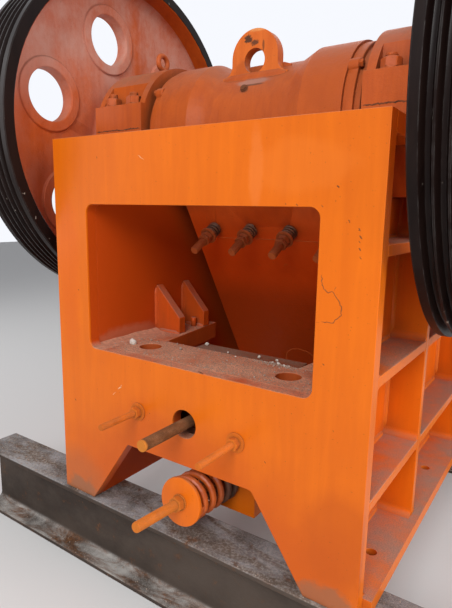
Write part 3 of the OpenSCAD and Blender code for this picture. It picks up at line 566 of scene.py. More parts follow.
def bare_steel(name, colour, rust_colour, rust, rough, metallic=0.6, scale=26.0):
    """Bare steel: a dull metal under patches of rust and a film of dust."""
    material, g, surface = new_material(name)
    coords = g.add("ShaderNodeTexCoord")
    lying = use(g, settled_dust(), Amount=0.55)
    dirt_and_shade_group = use(g, corner_dirt_and_shade(), Reach=0.03, Amount=0.8)
    patch = g.noise(coords.outputs["Object"], scale, 6.0, 0.68)
    flake = g.noise(coords.outputs["Object"], scale * 7, 4.0, 0.6)
    rusty = g.math("MULTIPLY", g.ramp(patch, 0.62 - rust * 0.4, 0.78 - rust * 0.4), 1.0, clamp=True)
    tone = g.mix(g.ramp(flake, 0.35, 0.68), rust_colour, tuple(c * 1.9 for c in rust_colour[:3]) + (1,))
    base = g.mix(rusty, colour, tone)
    # dirt and painted shade: corners darkened towards near black, by how closed off they are
    base = g.mix(dirt_and_shade_group.outputs["Mask"], base, (0.035, 0.025, 0.018, 1))
    base = g.mix(lying.outputs["Mask"], base, (0.30, 0.24, 0.18, 1))
    g.feed(surface.inputs["Base Color"], base)
    cover = g.math("MAXIMUM", rusty, lying.outputs["Mask"])
    g.feed(surface.inputs["Metallic"], g.math("MULTIPLY", g.math("SUBTRACT", 1.0, cover), metallic))
    g.feed(surface.inputs["Roughness"], g.blend(cover, rough, 0.88))
    height = g.math("ADD", g.math("MULTIPLY", flake, 0.5), g.math("MULTIPLY", patch, 0.5))
    g.feed(surface.inputs["Normal"], g.bump(height, 0.45, 0.0014))
    return material


def weathered_beam(name):
    """A rolled beam left outdoors: a dark web, blue-grey dust and rust in long patches on its top faces, rusty edges."""
    material, g, surface = new_material(name)
    coords = g.add("ShaderNodeTexCoord")
    place_of = coords.outputs["Object"]
    lying = use(g, settled_dust(), Amount=1.15)
    edge = use(g, worn_edge(), Radius=0.009)
    broad = g.noise(g.stretch(place_of, (2.2, 6.0, 4.0)), 1.0, 6.0, 0.62)
    cloud = g.noise(g.stretch(place_of, (5.0, 14.0, 9.0)), 1.0, 7.0, 0.68, 0.8)
    patch = g.noise(place_of, 19.0, 7.0, 0.7)
    fine = g.noise(place_of, 130.0, 4.0, 0.65)
    rust = g.mix(g.ramp(fine, 0.35, 0.65), (0.095, 0.040, 0.020, 1), (0.21, 0.088, 0.036, 1))
    web = g.mix(g.ramp(broad, 0.3, 0.7), (0.040, 0.030, 0.025, 1), (0.088, 0.066, 0.053, 1))
    web = g.mix(g.math("MULTIPLY", g.ramp(patch, 0.56, 0.72), 0.7), web, rust)
    top = g.mix(g.ramp(cloud, 0.40, 0.58), (0.175, 0.130, 0.102, 1), (0.330, 0.322, 0.328, 1))
    top = g.mix(g.math("MULTIPLY", g.ramp(fine, 0.42, 0.66), 0.5), top, (0.52, 0.48, 0.44, 1))
    top = g.mix(g.math("MULTIPLY", g.ramp(patch, 0.57, 0.68), 0.75), top, rust)
    split = g.add("ShaderNodeSeparateXYZ")
    g.feed(split.inputs[0], place_of)
    low = g.math("SUBTRACT", 1.0, g.ramp(split.outputs["Z"], 0.018, 0.030))
    sand = g.mix(g.ramp(cloud, 0.38, 0.60), rust, (0.45, 0.42, 0.39, 1))
    base = g.mix(lying.outputs["Mask"], web, g.mix(low, top, sand))
    base = g.mix(g.math("MULTIPLY", edge.outputs["Mask"], 0.8), base, rust)
    g.feed(surface.inputs["Base Color"], base)
    g.feed(surface.inputs["Roughness"], g.blend(g.ramp(patch, 0.3, 0.7), 0.66, 0.94))
    height = g.math("ADD", g.math("MULTIPLY", patch, 0.6), g.math("MULTIPLY", fine, 0.4))
    g.feed(surface.inputs["Normal"], g.bump(height, 0.5, 0.0025))
    surface.inputs["Specular IOR Level"].default_value = 0.12
    return material


def rim_enamel(name):
    """A cast rim: black outside and on its sides, orange on the inner wall, where r is the distance from the shaft."""
    material, g, surface = new_material(name)
    coords = g.add("ShaderNodeTexCoord")
    place_of = g.add("ShaderNodeVectorMath", operation="SUBTRACT")
    g.feed(place_of.inputs[0], coords.outputs["Object"])
    place_of.inputs[1].default_value = tuple(SHAFT)
    flat = g.add("ShaderNodeVectorMath", operation="MULTIPLY")
    g.feed(flat.inputs[0], place_of.outputs[0])
    flat.inputs[1].default_value = (0, 1, 1)
    length = g.add("ShaderNodeVectorMath", operation="LENGTH")
    g.feed(length.inputs[0], flat.outputs[0])
    wobble = g.noise(coords.outputs["Object"], 30.0, 3.0)
    reach = g.math("ADD", length.outputs["Value"], g.math("MULTIPLY", wobble, 0.004))
    black = g.ramp(reach, 0.5035, 0.5050)
    coat = use(g, brushed_coat())
    lying = use(g, settled_dust(), Amount=0.30)
    edge = use(g, worn_edge(), Radius=0.003)
    orange = g.mix(g.ramp(coat.outputs["Tone"], 0.30, 0.70), CASTING_DEEP, CASTING)
    dark = g.mix(g.ramp(coat.outputs["Tone"], 0.30, 0.70), (0.0060, 0.0028, 0.0024, 1), (0.0140, 0.0068, 0.0054, 1))
    chips = g.ramp(g.noise(coords.outputs["Object"], 46.0, 2.0, 0.5), 0.735, 0.765)
    dark = g.mix(g.math("MULTIPLY", chips, 0.7), dark, (0.34, 0.30, 0.25, 1))
    dark = g.mix(g.math("MULTIPLY", edge.outputs["Mask"], 0.35), dark, (0.20, 0.19, 0.18, 1))
    base = g.mix(black, orange, dark)
    base = g.mix(lying.outputs["Mask"], base, g.mix(black, DUST, (0.10, 0.085, 0.075, 1)))
    g.feed(surface.inputs["Base Color"], base)
    g.feed(surface.inputs["Roughness"], g.math("ADD", g.math("MULTIPLY", coat.outputs["Tone"], 0.2), 0.28))
    g.feed(surface.inputs["Normal"], g.bump(coat.outputs["Height"], 0.28, 0.0014))
    surface.inputs["Specular IOR Level"].default_value = 0.11
    return material


def painted_coil(name):
    """The tension spring: orange overspray on its rear turns, fading towards the front into brown steel."""
    material, g, surface = new_material(name)
    coords = g.add("ShaderNodeTexCoord")
    split = g.add("ShaderNodeSeparateXYZ")
    g.feed(split.inputs[0], coords.outputs["Object"])
    cloud = g.noise(coords.outputs["Object"], 24.0, 4.0, 0.6)
    along = g.math("ADD", split.outputs["Y"], g.math("MULTIPLY", cloud, 0.07))
    bare = g.ramp(along, REAR_Y + 0.115, REAR_Y + 0.165)
    lying = use(g, settled_dust(), Amount=0.45)
    orange = g.mix(g.ramp(cloud, 0.35, 0.65), CASTING_DEEP, CASTING)
    brown = g.mix(g.ramp(cloud, 0.35, 0.65), (0.075, 0.032, 0.018, 1), (0.16, 0.060, 0.028, 1))
    base = g.mix(lying.outputs["Mask"], g.mix(bare, orange, brown), DUST)
    g.feed(surface.inputs["Base Color"], base)
    g.feed(surface.inputs["Roughness"], g.blend(bare, 0.45, 0.62))
    g.feed(surface.inputs["Normal"], g.bump(cloud, 0.3, 0.001))
    return material


def loose_stone(name, colour, shade):
    """Broken stone and fines: two tones of the same rock, rough all over."""
    material, g, surface = new_material(name)
    coords = g.add("ShaderNodeTexCoord")
    tone = g.noise(coords.outputs["Object"], 90.0, 4.0, 0.6)
    g.feed(surface.inputs["Base Color"], g.mix(g.ramp(tone, 0.3, 0.7), shade, colour))
    surface.inputs["Roughness"].default_value = 0.94
    g.feed(surface.inputs["Normal"], g.bump(g.noise(coords.outputs["Object"], 420.0, 3.0), 0.4, 0.0008))
    return material


ORANGE = (0.765, 0.157, 0.004, 1)
ORANGE_DEEP = (0.665, 0.126, 0.004, 1)
CASTING = (0.57, 0.106, 0.010, 1)
CASTING_DEEP = (0.40, 0.064, 0.008, 1)
DUST = (0.36, 0.165, 0.095, 1)
SHELF_DUST = (0.80, 0.365, 0.215, 1)
FADED = (0.85, 0.24, 0.06, 1)
STAIN = (0.10, 0.035, 0.015, 1)
SHADED = (0.50, 0.060, 0.004, 1)
PLATE_MARKS = (
    ((197, 0, 960), (22, 20, 105), FADED, 0.25, 0.9, 14.0),
    ((-430, 0, 700), (60, 20, 300), (0.70, 0.115, 0.005, 1), 0.5, 1.2, 6.0),
    ((300, 0, 960), (140, 20, 70), (0.80, 0.19, 0.022, 1), 0.3, 1.0, 9.0),
    ((0, 0, 250), (200, 20, 70), (0.68, 0.118, 0.005, 1), 0.4, 1.4, 7.0),
    # painted shade: the whole plate darker towards its foot
    ((0, 0, -40), (640, 40, 440), (0.57, 0.092, 0.005, 1), 0.85, 0.5, 4.0),
    ((430, 0, 160), (110, 30, 150), (0.48, 0.078, 0.005, 1), 0.5, 0.6, 7.0),
    ((-430, 0, -10), (170, 30, 190), (0.46, 0.120, 0.034, 1), 0.6, 0.5, 5.0),
    ((-416, 0, 8), (90, 30, 62), (0.23, 0.125, 0.070, 1), 0.6, 1.6, 16.0),
    ((416, 0, 8), (90, 30, 55), (0.23, 0.125, 0.070, 1), 0.6, 1.6, 16.0),
)
LUG_MARKS = (
    ((-21, 299, 1327), (17, 20, 11), STAIN, 1.0, 2.4, 110.0),
    ((-2, 299, 1315), (16, 20, 8), STAIN, 0.9, 2.4, 110.0),
    ((27, 299, 1305), (4, 20, 17), STAIN, 0.7, 1.2, 90.0),
    ((-40, 299, 1240), (30, 20, 40), (0.46, 0.085, 0.014, 1), 0.6, 2.0, 30.0),
    ((10, 299, 1356), (44, 24, 16), (0.85, 0.36, 0.12, 1), 0.7, 1.0, 30.0),
)
BARREL_MARKS = (
    # painted bounce light: these two marks make the slab's lower half deep red, as orange light bounced into its shade
    # does
    ((0, 600, 450), (3000, 3000, 520), (0.86, 0.086, 0.004, 1), 0.9, 0.15, 5.0),
    ((0, 600, 400), (3000, 3000, 270), (0.59, 0.068, 0.006, 1), 0.85, 0.15, 5.0),
    ((250, 300, 1200), (110, 400, 130), (0.44, 0.080, 0.010, 1), 0.7, 1.0, 8.0),
    ((10, 273, 1213), (66, 40, 13), (0.42, 0.215, 0.165, 1), 0.8, 1.0, 26.0),
    ((16, 268, 1203), (46, 30, 4), STAIN, 0.8, 1.0, 40.0),
    ((-12, 268, 1193), (16, 24, 15), STAIN, 0.8, 1.0, 60.0),
)
PAINTS = {}


def paints():
    """All the materials, made once and kept by name."""
    if PAINTS:
        return PAINTS
    PAINTS.update({
        "plate": enamel("Orange plate", ORANGE, ORANGE_DEEP, DUST, 0.55, 0.45, 0.36, worn=0.2),
        "rib": enamel("Dusty rib", ORANGE, ORANGE_DEEP, (0.42, 0.245, 0.19, 1), 1.0, 0.45, 0.42, worn=0.2),
        "wall": enamel("Side wall", (0.80, 0.138, 0.004, 1), (0.70, 0.112, 0.004, 1), DUST, 0.55, 0.45, 0.40, worn=0.0,
                       inside=SHADED,
                       marks=(((-350, 165, 474), (30, 165, 48), (0.50, 0.18, 0.10, 1), 0.5, 0.8, 18.0),)),
        # painted shade: the gussets and their welds are a darker orange, for the shade they sit in; the dust on them is
        # dust
        "gusset": enamel("Dusty gusset in painted shade", (0.62, 0.084, 0.006, 1), CASTING_DEEP, (0.36, 0.19, 0.14, 1), 0.9, 0.6, 0.5,
                         worn=0.1),
        "casting": enamel("Orange casting", CASTING, CASTING_DEEP, DUST, 0.70, 0.60, 0.44, cast=0.35, film=0.07),
        "web": enamel("Faded wheel", (0.66, 0.112, 0.010, 1), (0.50, 0.070, 0.008, 1), DUST, 0.50, 0.75, 0.50,
                      cast=0.85, film=1.0),
        "rear": enamel("Rear plate", ORANGE, ORANGE_DEEP, SHELF_DUST, 1.05, 0.45, 0.36, worn=0.08,
                       marks=PLATE_MARKS, inside=SHADED, behind=REAR_Y + 0.004),
        "lug": enamel("Lifting lug", (0.80, 0.188, 0.026, 1), (0.62, 0.120, 0.016, 1), (0.60, 0.30, 0.20, 1), 0.4, 0.5,
                      0.46, cast=0.30, worn=0.3, marks=LUG_MARKS),
        # painted shade: the shelf's and arms' orange is darker than the plate's, for the shade on the arms' faces; the
        # dust on top is dust
        "shelf": enamel("Dusty shelf in painted shade", (0.50, 0.085, 0.010, 1), (0.36, 0.056, 0.008, 1), SHELF_DUST, 1.25, 0.6, 0.6),
        "block": enamel("Dusty block", CASTING_DEEP, (0.20, 0.05, 0.015, 1), (0.23, 0.130, 0.090, 1), 1.2, 0.6, 0.7),
        "heap": loose_stone("Dust heap", (0.62, 0.285, 0.170, 1), (0.42, 0.200, 0.122, 1)),
        "crack": loose_stone("Cracked paint", (0.20, 0.060, 0.018, 1), (0.09, 0.030, 0.012, 1)),
        "scratch": loose_stone("Scratched paint", (0.80, 0.42, 0.22, 1), (0.66, 0.28, 0.12, 1)),
        "crease": loose_stone("Creased paint", (0.66, 0.135, 0.022, 1), (0.52, 0.095, 0.014, 1)),
        # dust on top, and the painted bounce light of the first two BARREL_MARKS on the slab
        "barrel": enamel("Dusty barrel with painted light", CASTING, CASTING_DEEP, (0.40, 0.175, 0.10, 1), 0.36, 0.65, 0.46, cast=0.5,
                         film=0.07, marks=BARREL_MARKS),
        "coil": painted_coil("Painted coil"),
        "bolt": enamel("Painted thread", (0.66, 0.150, 0.009, 1), (0.44, 0.100, 0.008, 1), DUST, 0.03, 0.9, 0.62,
                       worn=0.3),
        "rod": enamel("Painted rod", (0.66, 0.180, 0.015, 1), (0.47, 0.125, 0.013, 1), DUST, 0.03, 0.9, 0.62,
                      worn=0.3),
        "screw": enamel("Rusty screw", (0.14, 0.046, 0.011, 1), (0.060, 0.023, 0.007, 1), DUST, 0.06, 0.8, 0.7,
                        worn=0.6, marks=(((0, -158, 328), (40, 13, 40), (0.62, 0.20, 0.022, 1), 0.85, 0.6, 30.0),)),
        "rim": rim_enamel("Rim"),
        "stud": enamel("Painted stud", (0.62, 0.140, 0.030, 1), (0.38, 0.085, 0.022, 1), DUST, 0.35, 0.7, 0.55,
                       worn=0.5),
        "grit": loose_stone("Grit", (0.48, 0.38, 0.31, 1), (0.25, 0.165, 0.12, 1)),
        "stone": loose_stone("Limestone", (0.78, 0.74, 0.67, 1), (0.50, 0.45, 0.38, 1)),
        "steel": bare_steel("Worn steel", (0.24, 0.22, 0.20, 1), (0.13, 0.058, 0.026, 1), 0.35, 0.42),
        "rust": bare_steel("Rusted thread", (0.20, 0.14, 0.08, 1), (0.15, 0.070, 0.026, 1), 0.75, 0.55, 0.35),
        "spring": bare_steel("Spring steel", (0.13, 0.050, 0.024, 1), (0.18, 0.064, 0.026, 1), 0.45, 0.55, 0.15),
        "manganese": bare_steel("Jaw casting", (0.17, 0.155, 0.14, 1), (0.12, 0.06, 0.03, 1), 0.30, 0.50, 0.5, 12.0),
        "beam": weathered_beam("Weathered beam"),
    })
    return PAINTS


NODE_PAINT = {
    "painted_orange": "plate", "painted_black": "rim", "worn_steel": "steel", "rusty_steel": "rust",
    "dark_spring": "spring", "manganese": "manganese", "weathered_beam": "beam",
}
CASTINGS = {
    "bearing_saddles", "bearing_cap_left", "bearing_cap_right", "bearing_covers", "cap_eyebolts",
    "flywheel_left", "flywheel_right", "pitman", "lifting_lug", "barrel_covers",
}


def paint_of(node):
    """The material of a CAD node, from its slot and from whether it is a casting."""
    if node == "tension_spring":
        return paints()["coil"]
    if node in CASTINGS:
        return paints()["casting"]
    if node in ("shelf_plate", "guide_arms", "guide_gussets"):
        return paints()["shelf"]
    return paints()[NODE_PAINT[SLOTS[node]]]


class CrusherStage(bpy.types.PropertyGroup):
    """The floor's colour, and the camera's lens, heading, pitch, roll and place."""

    floor_colour: FloatVectorProperty(
        name="Floor", description="Colour of the floor", subtype="COLOR", size=4, default=(0.72, 0.71, 0.70, 1))
    lens: FloatProperty(
        name="Lens", description="Focal length on a 36 mm frame's long side, in millimetres", default=30.49)
    azimuth: FloatProperty(
        name="Azimuth", description="Heading of the camera", subtype="ANGLE", default=math.radians(34.456))
    pitch: FloatProperty(
        name="Pitch", description="How far the camera looks down", subtype="ANGLE", default=math.radians(10.41))
    roll: FloatProperty(
        name="Roll", description="Turn of the camera about its view", subtype="ANGLE", default=math.radians(0.96))
    eye: FloatVectorProperty(
        name="Eye", description="Place of the camera, in the machine's millimetres", size=3,
        default=(788.6, -967.0, 872.4))


class CRUSHER_OT_stage(bpy.types.Operator):
    """Makes the floor, the lamps, the world and the camera"""

    bl_idname = "crusher.stage"
    bl_label = "Stage"

    def execute(self, context):
        settings = context.scene.crusher_stage
        self.camera(context, settings)
        self.floor(settings)
        self.lamps(context)
        self.world(context)
        context.scene.view_settings.view_transform = "Standard"
        return {"FINISHED"}

    def camera(self, context, settings):
        """The view's axes: right and down turned by the roll, and forward from azimuth and pitch."""
        a, p, r = settings.azimuth, settings.pitch, settings.roll
        forward = Vector((-math.sin(a) * math.cos(p), math.cos(a) * math.cos(p), -math.sin(p)))
        level = Vector((math.cos(a), math.sin(a), 0))
        down = forward.cross(level)
        right = math.cos(r) * level - math.sin(r) * down
        down = math.sin(r) * level + math.cos(r) * down
        data = bpy.data.cameras.new("Camera")
        data.sensor_width = 36
        data.lens = settings.lens
        data.clip_start = 0.01
        camera = bpy.data.objects.new("Camera", data)
        turn = Matrix((right, -down, -forward)).transposed()
        camera.matrix_world = Matrix.Translation(place(*settings.eye)) @ turn.to_4x4()
        context.scene.collection.objects.link(camera)
        context.scene.camera = camera

    def floor(self, settings):
        """A flat square far wider than the machine."""
        half = 14.0
        mesh = bpy.data.meshes.new("Floor")
        mesh.from_pydata([(-half, -half, 0), (half, -half, 0), (half, half, 0), (-half, half, 0)], [], [(0, 1, 2, 3)])
        floor = bpy.data.objects.new("Floor", mesh)
        bpy.context.scene.collection.objects.link(floor)
        material, g, surface = new_material("Floor")
        surface.inputs["Base Color"].default_value = settings.floor_colour
        surface.inputs["Roughness"].default_value = 0.9
        floor.data.materials.append(material)

    def lamps(self, context):
        """A large soft key from above the camera's side, and fills from the right, the left and the front."""
        for name, spot, size, power in (
            ("Key", (1.5, -4.6, 3.6), 2.4, 190.0),
            ("Right", (4.4, -1.0, 2.0), 3.0, 132.0),
            ("Left", (-4.3, -1.6, 2.2), 3.0, 60.0),
            ("Back", (-1.5, 4.0, 4.0), 3.0, 40.0),
        ):
            data = bpy.data.lights.new(name, "AREA")
            data.size = size
            data.energy = power
            lamp = bpy.data.objects.new(name, data)
            lamp.location = spot
            aim = Vector((0, 0, 0.9)) - lamp.location
            lamp.rotation_mode = "QUATERNION"
            lamp.rotation_quaternion = aim.to_track_quat("-Z", "Y")
            context.scene.collection.objects.link(lamp)

    def world(self, context):
        """Plain white to the camera and to reflections, and a soft grey light on everything else."""
        world = bpy.data.worlds.new("Studio")
        world.use_nodes = True
        world.node_tree.nodes.clear()
        g = Graph(world.node_tree)
        path = g.add("ShaderNodeLightPath")
        seen = g.math("MAXIMUM", path.outputs["Is Camera Ray"], path.outputs["Is Transmission Ray"])
        seen = g.math("MAXIMUM", seen, path.outputs["Is Glossy Ray"])
        background = g.add("ShaderNodeBackground")
        background.inputs["Color"].default_value = (0.93, 0.95, 1.0, 1)
        g.feed(background.inputs["Strength"], g.blend(seen, 0.31, 1.0))
        output = g.add("ShaderNodeOutputWorld")
        g.feed(output.inputs["Surface"], background.outputs[0])
        context.scene.world = world


class CRUSHER_OT_paint(bpy.types.Operator):
    """Gives every CAD node the finish of its slot"""

    bl_idname = "crusher.paint"
    bl_label = "Paint the nodes"

    def execute(self, context):
        for name, node in frame["nodes"].items():
            node.data.materials.clear()
            node.data.materials.append(paint_of(name))
        return {"FINISHED"}


class CrusherFasteners(bpy.types.PropertyGroup):
    """Sizes of the threads and the washers, in metres"""

    pitch: FloatProperty(name="Pitch", description="Pitch of the threads", subtype="DISTANCE", default=0.0030)
    depth: FloatProperty(name="Depth", description="Depth of the threads", subtype="DISTANCE", default=0.0013)
    washer: FloatProperty(name="Washer", description="Thickness of the washers", subtype="DISTANCE", default=0.004)


def add_thread(shell, start, end, radius, size, plain_end=None):
    """Adds a threaded bar from start to end, and a plain one on to plain_end."""
    shell.grid(threaded(start, end, radius, size.pitch, size.depth), wrap_cols=True, cap=True)
    if plain_end is not None:
        shell.grid(bar(end, plain_end, radius - size.depth * 0.4), wrap_cols=True, cap=False)


def add_nut(shell, centre, axis, flats, thick, bore, turn=0.0):
    shell.grid(hex_nut(centre, axis, flats, thick, bore, turn=turn), wrap_rows=True, wrap_cols=True)


def add_washer(shell, centre, axis, outer, inner, thick):
    shell.grid(washer(centre, axis, outer, inner, thick), wrap_rows=True, wrap_cols=True)


class CRUSHER_OT_gear(bpy.types.Operator):
    """Threads the clamp rods and the adjusting screw, with their nuts and washers"""

    bl_idname = "crusher.gear"
    bl_label = "Adjusting gear"

    def execute(self, context):
        size = context.scene.crusher_fasteners
        low, high = machine("clamp_rods")
        x, z = (high[0] - low[0]) / 2 - 25, (high[2] + low[2]) / 2
        rods = Shell()
        for side, turn, short in ((-1, 0.3, 13), (1, 0.9, 0)):
            add_thread(rods, place(side * x, low[1] + short, z), place(side * x, 0, z), 0.009, size,
                       place(side * x, high[1], z))
            add_nut(rods, place(side * x, -20, z), Y_AXIS, 0.0285, 0.016, 0.0078, turn)
            add_washer(rods, place(side * x, -4, z), Y_AXIS, 0.025, 0.0078, 0.004)
        fit(rods.object("clamp_rods_threaded"), paints()["bolt"], "frame", ("clamp_rods",))
        low, high = machine("adjusting_screw")
        z = (low[2] + high[2]) / 2
        screw = Shell()
        add_thread(screw, place(0, low[1], z), place(0, 40, z), 0.015, size, place(0, high[1], z))
        fit(screw.object("adjusting_screw_threaded"), paints()["screw"], "frame", ("adjusting_screw",))
        return {"FINISHED"}


class CRUSHER_OT_tension(bpy.types.Operator):
    """Threads the tension rod and turns its spring plate and nuts"""

    bl_idname = "crusher.tension"
    bl_label = "Tension rod"

    def execute(self, context):
        size = context.scene.crusher_fasteners
        slope = math.radians(5)
        axis = np.array((0, math.cos(slope), -math.sin(slope)))
        low, high = machine("spring_disc")
        middle = place(0, (low[1] + high[1]) / 2, (low[2] + high[2]) / 2)
        tip = (machine("tension_rod")[0][1] + 1.2) / axis[1] * MM - (low[1] + high[1]) / 2 / axis[1] * MM
        front = (machine("tension_rod")[1][1] - 1.2) / axis[1] * MM - (low[1] + high[1]) / 2 / axis[1] * MM
        rod = Shell()
        add_thread(rod, middle + axis * tip, middle + axis * 0.03, 0.0135, size, middle + axis * (front - 0.12))
        add_thread(rod, middle + axis * (front - 0.12), middle + axis * front, 0.0135, size)
        add_washer(rod, middle - axis * 0.010, axis, 0.022, 0.0123, 0.004)
        add_nut(rod, middle - axis * 0.028, axis, 0.0365, 0.018, 0.0123, 0.35)
        ear = (765 - (low[1] + high[1]) / 2) / axis[1] * MM
        add_nut(rod, middle + axis * (ear + 0.004), axis, 0.0365, 0.022, 0.0123, 0.1)
        fit(rod.object("tension_rod_threaded"), paints()["rod"], "swing_jaw", ("tension_rod",))
        disc = Shell()
        profile = [(0.0137, -0.006), (0.0615, -0.006), (0.0642, -0.0045), (0.0650, -0.002), (0.0650, 0.002),
                   (0.0642, 0.0045), (0.0615, 0.006), (0.047, 0.006), (0.0137, 0.006)]
        disc.grid(revolved(profile, middle, axis, 72), wrap_rows=True, wrap_cols=True)
        fit(disc.object("spring_plate_turned"), paints()["plate"], "swing_jaw", ("spring_disc",))
        return {"FINISHED"}


class CRUSHER_OT_studs(bpy.types.Operator):
    """Makes the jaw plate's studs, their washers, nuts and springs on the pitman's back"""

    bl_idname = "crusher.studs"
    bl_label = "Jaw plate studs"

    def execute(self, context):
        size = context.scene.crusher_fasteners
        lean = math.atan(0.6)
        axis = np.array((0, -math.cos(lean), -math.sin(lean)))
        studs, springs = Shell(), Shell()
        for k, x in enumerate((-208, -69, 69, 208)):
            foot = place(x, 375 + 0.6 * (884 - 812), 812)
            reach = (0.133, 0.129, 0.131, 0.132)[k]
            add_thread(studs, foot + axis * 0.030, foot + axis * reach, 0.013, size)
            studs.grid(bar(foot - axis * 0.058, foot + axis * 0.031, 0.0125), wrap_cols=True)
            add_washer(studs, foot + axis * 0.042, axis, 0.0272, 0.0117, 0.006)
            add_nut(studs, foot + axis * 0.049, axis, 0.0355, 0.016, 0.0117, 0.2 + 0.4 * k)
            add_nut(studs, foot + axis * 0.067, axis, 0.0355, 0.010, 0.0117, 0.5 + 0.3 * k)
            path, ring = coil_path(foot + axis * 0.004, axis, 0.0187, 0.034, 4.2, 32, 0.8 * k)
            springs.grid(swept(path, circle(0.0038, 12), ring), wrap_cols=True, cap=True)
        fit(studs.object("jaw_studs_threaded"), paints()["stud"], "swing_jaw", ("jaw_studs",))
        fit(springs.object("stud_springs_wound"), paints()["spring"], "swing_jaw", ("stud_springs",))
        return {"FINISHED"}


class CRUSHER_OT_caps(bpy.types.Operator):
    """Finishes the bearing caps: soft edges, bolts with nuts and washers, and round lifting eyes"""

    bl_idname = "crusher.caps"
    bl_label = "Bearing caps"

    def execute(self, context):
        size = context.scene.crusher_fasteners
        for node, width in (("bearing_cap_left", 0.003), ("bearing_cap_right", 0.003), ("bearing_saddles", 0.003),
                            ("bearing_covers", 0.0025)):
            fit(softened(node, width), paints()["casting"], "frame", (node,))
        bolts, eyes = Shell(), Shell()
        low, high = machine("cap_bolts")
        cap = machine("bearing_cap_right")
        seat, middle = cap[0][2] + 74, (cap[0][0] + cap[1][0]) / 2
        shaft_y = (SHAFT.y - REAR_Y) / MM
        k = 0
        for side in (-1, 1):
            for sx in (-1, 1):
                for sy in (-1, 1):
                    x, y = side * (middle + sx * 44), shaft_y + sy * 184
                    k += 1
                    add_thread(bolts, place(x, y, seat + 2), place(x, y, high[2] - 1 - 2 * (k % 3)), 0.014, size)
                    add_washer(bolts, place(x, y, seat - 0.3), Z_AXIS, 0.0262, 0.0125, 0.0035)
                    add_nut(bolts, place(x, y, seat + 3.2), Z_AXIS, 0.0418, 0.0225, 0.0125, 0.37 * k)
            top = place(side * middle, shaft_y, cap[1][2])
            ring = circle(0.0085, 20) + np.array((0.022, 0))
            eyes.grid(revolved(ring, top + Z_AXIS * 0.0345, X_AXIS, 56), wrap_rows=True, wrap_cols=True)
            neck = [(0, -0.018), (0.0085, -0.018), (0.0085, -0.001), (0.0175, -0.001), (0.0185, 0.001), (0.0185, 0.005),
                    (0.0165, 0.0065), (0.0125, 0.0075), (0.0100, 0.0105), (0.0092, 0.0150), (0, 0.0155)]
            eyes.grid(revolved(neck, top, Z_AXIS, 32), wrap_cols=True)
        fit(bolts.object("cap_bolts_threaded"), paints()["casting"], "frame", ("cap_bolts",))
        fit(eyes.object("cap_eyebolts_round"), paints()["casting"], "frame", ("cap_eyebolts",))
        return {"FINISHED"}


class CRUSHER_OT_pitman(bpy.types.Operator):
    """Finishes the pitman: soft edges, the lug's weld, the end covers' screws and the barrel's plug"""

    bl_idname = "crusher.pitman"
    bl_label = "Pitman"

    def execute(self, context):
        for node, width, paint in (("pitman", 0.004, "barrel"), ("barrel_covers", 0.002, "barrel"),
                                   ("lifting_lug", 0.004, "lug")):
            fit(softened(node, width), paints()[paint], "swing_jaw", (node,))
        y0, z0 = (CRANK.y - REAR_Y) / MM, (CRANK.z - FEET_Z) / MM
        low, high = machine("barrel_covers")
        screws = Shell()
        for side in (-1, 1):
            for k in range(6):
                a = math.radians(145 + 60 * k)
                x = side * (high[0] - 14)
                y, z = y0 + 199 * math.cos(a), z0 + 199 * math.sin(a)
                add_washer(screws, place(x, y, z), X_AXIS * side, 0.0105, 0.002, 0.0018)
                screws.grid(hex_nut(place(x + side * 1.5, y, z), X_AXIS * side, 0.0165, 0.0075, 0.001, turn=0.3 * k),
                            wrap_rows=True, wrap_cols=True)
        lug_low, lug_high = machine("lifting_lug")
        for y, out in ((lug_low[1], -1), (lug_high[1], 1)):
            dy = y - y0
            x = np.linspace(-98, 98, 60)
            path = np.array([place(v, y, z0 + math.sqrt(181 ** 2 - dy ** 2)) for v in x])
            down = np.array((0, dy, math.sqrt(181 ** 2 - dy ** 2))) / 181
            slide = np.cross(X_AXIS, down) * (-out if np.cross(X_AXIS, down)[1] < 0 else out)
            screws.grid(weld(path, Z_AXIS, slide, 0.011, seed=3), cap=True, wrap_cols=True)
        fit(screws.object("pitman_fittings"), paints()["barrel"], "swing_jaw")
        plug = Shell()
        a = math.radians(147.6)
        outward = np.array((0, math.cos(a), math.sin(a)))
        foot = place(-14, y0 + 181 * math.cos(a), z0 + 181 * math.sin(a)) - outward * 0.002
        profile = [(0, 0), (0.0105, 0), (0.0105, 0.004), (0.0085, 0.0055), (0.0085, 0.0075), (0.0065, 0.0085), (0, 0.009)]
        plug.grid(revolved(profile, foot, outward, 28), wrap_cols=True)
        fit(plug.object("barrel_plug"), paints()["crack"], "swing_jaw")
        return {"FINISHED"}


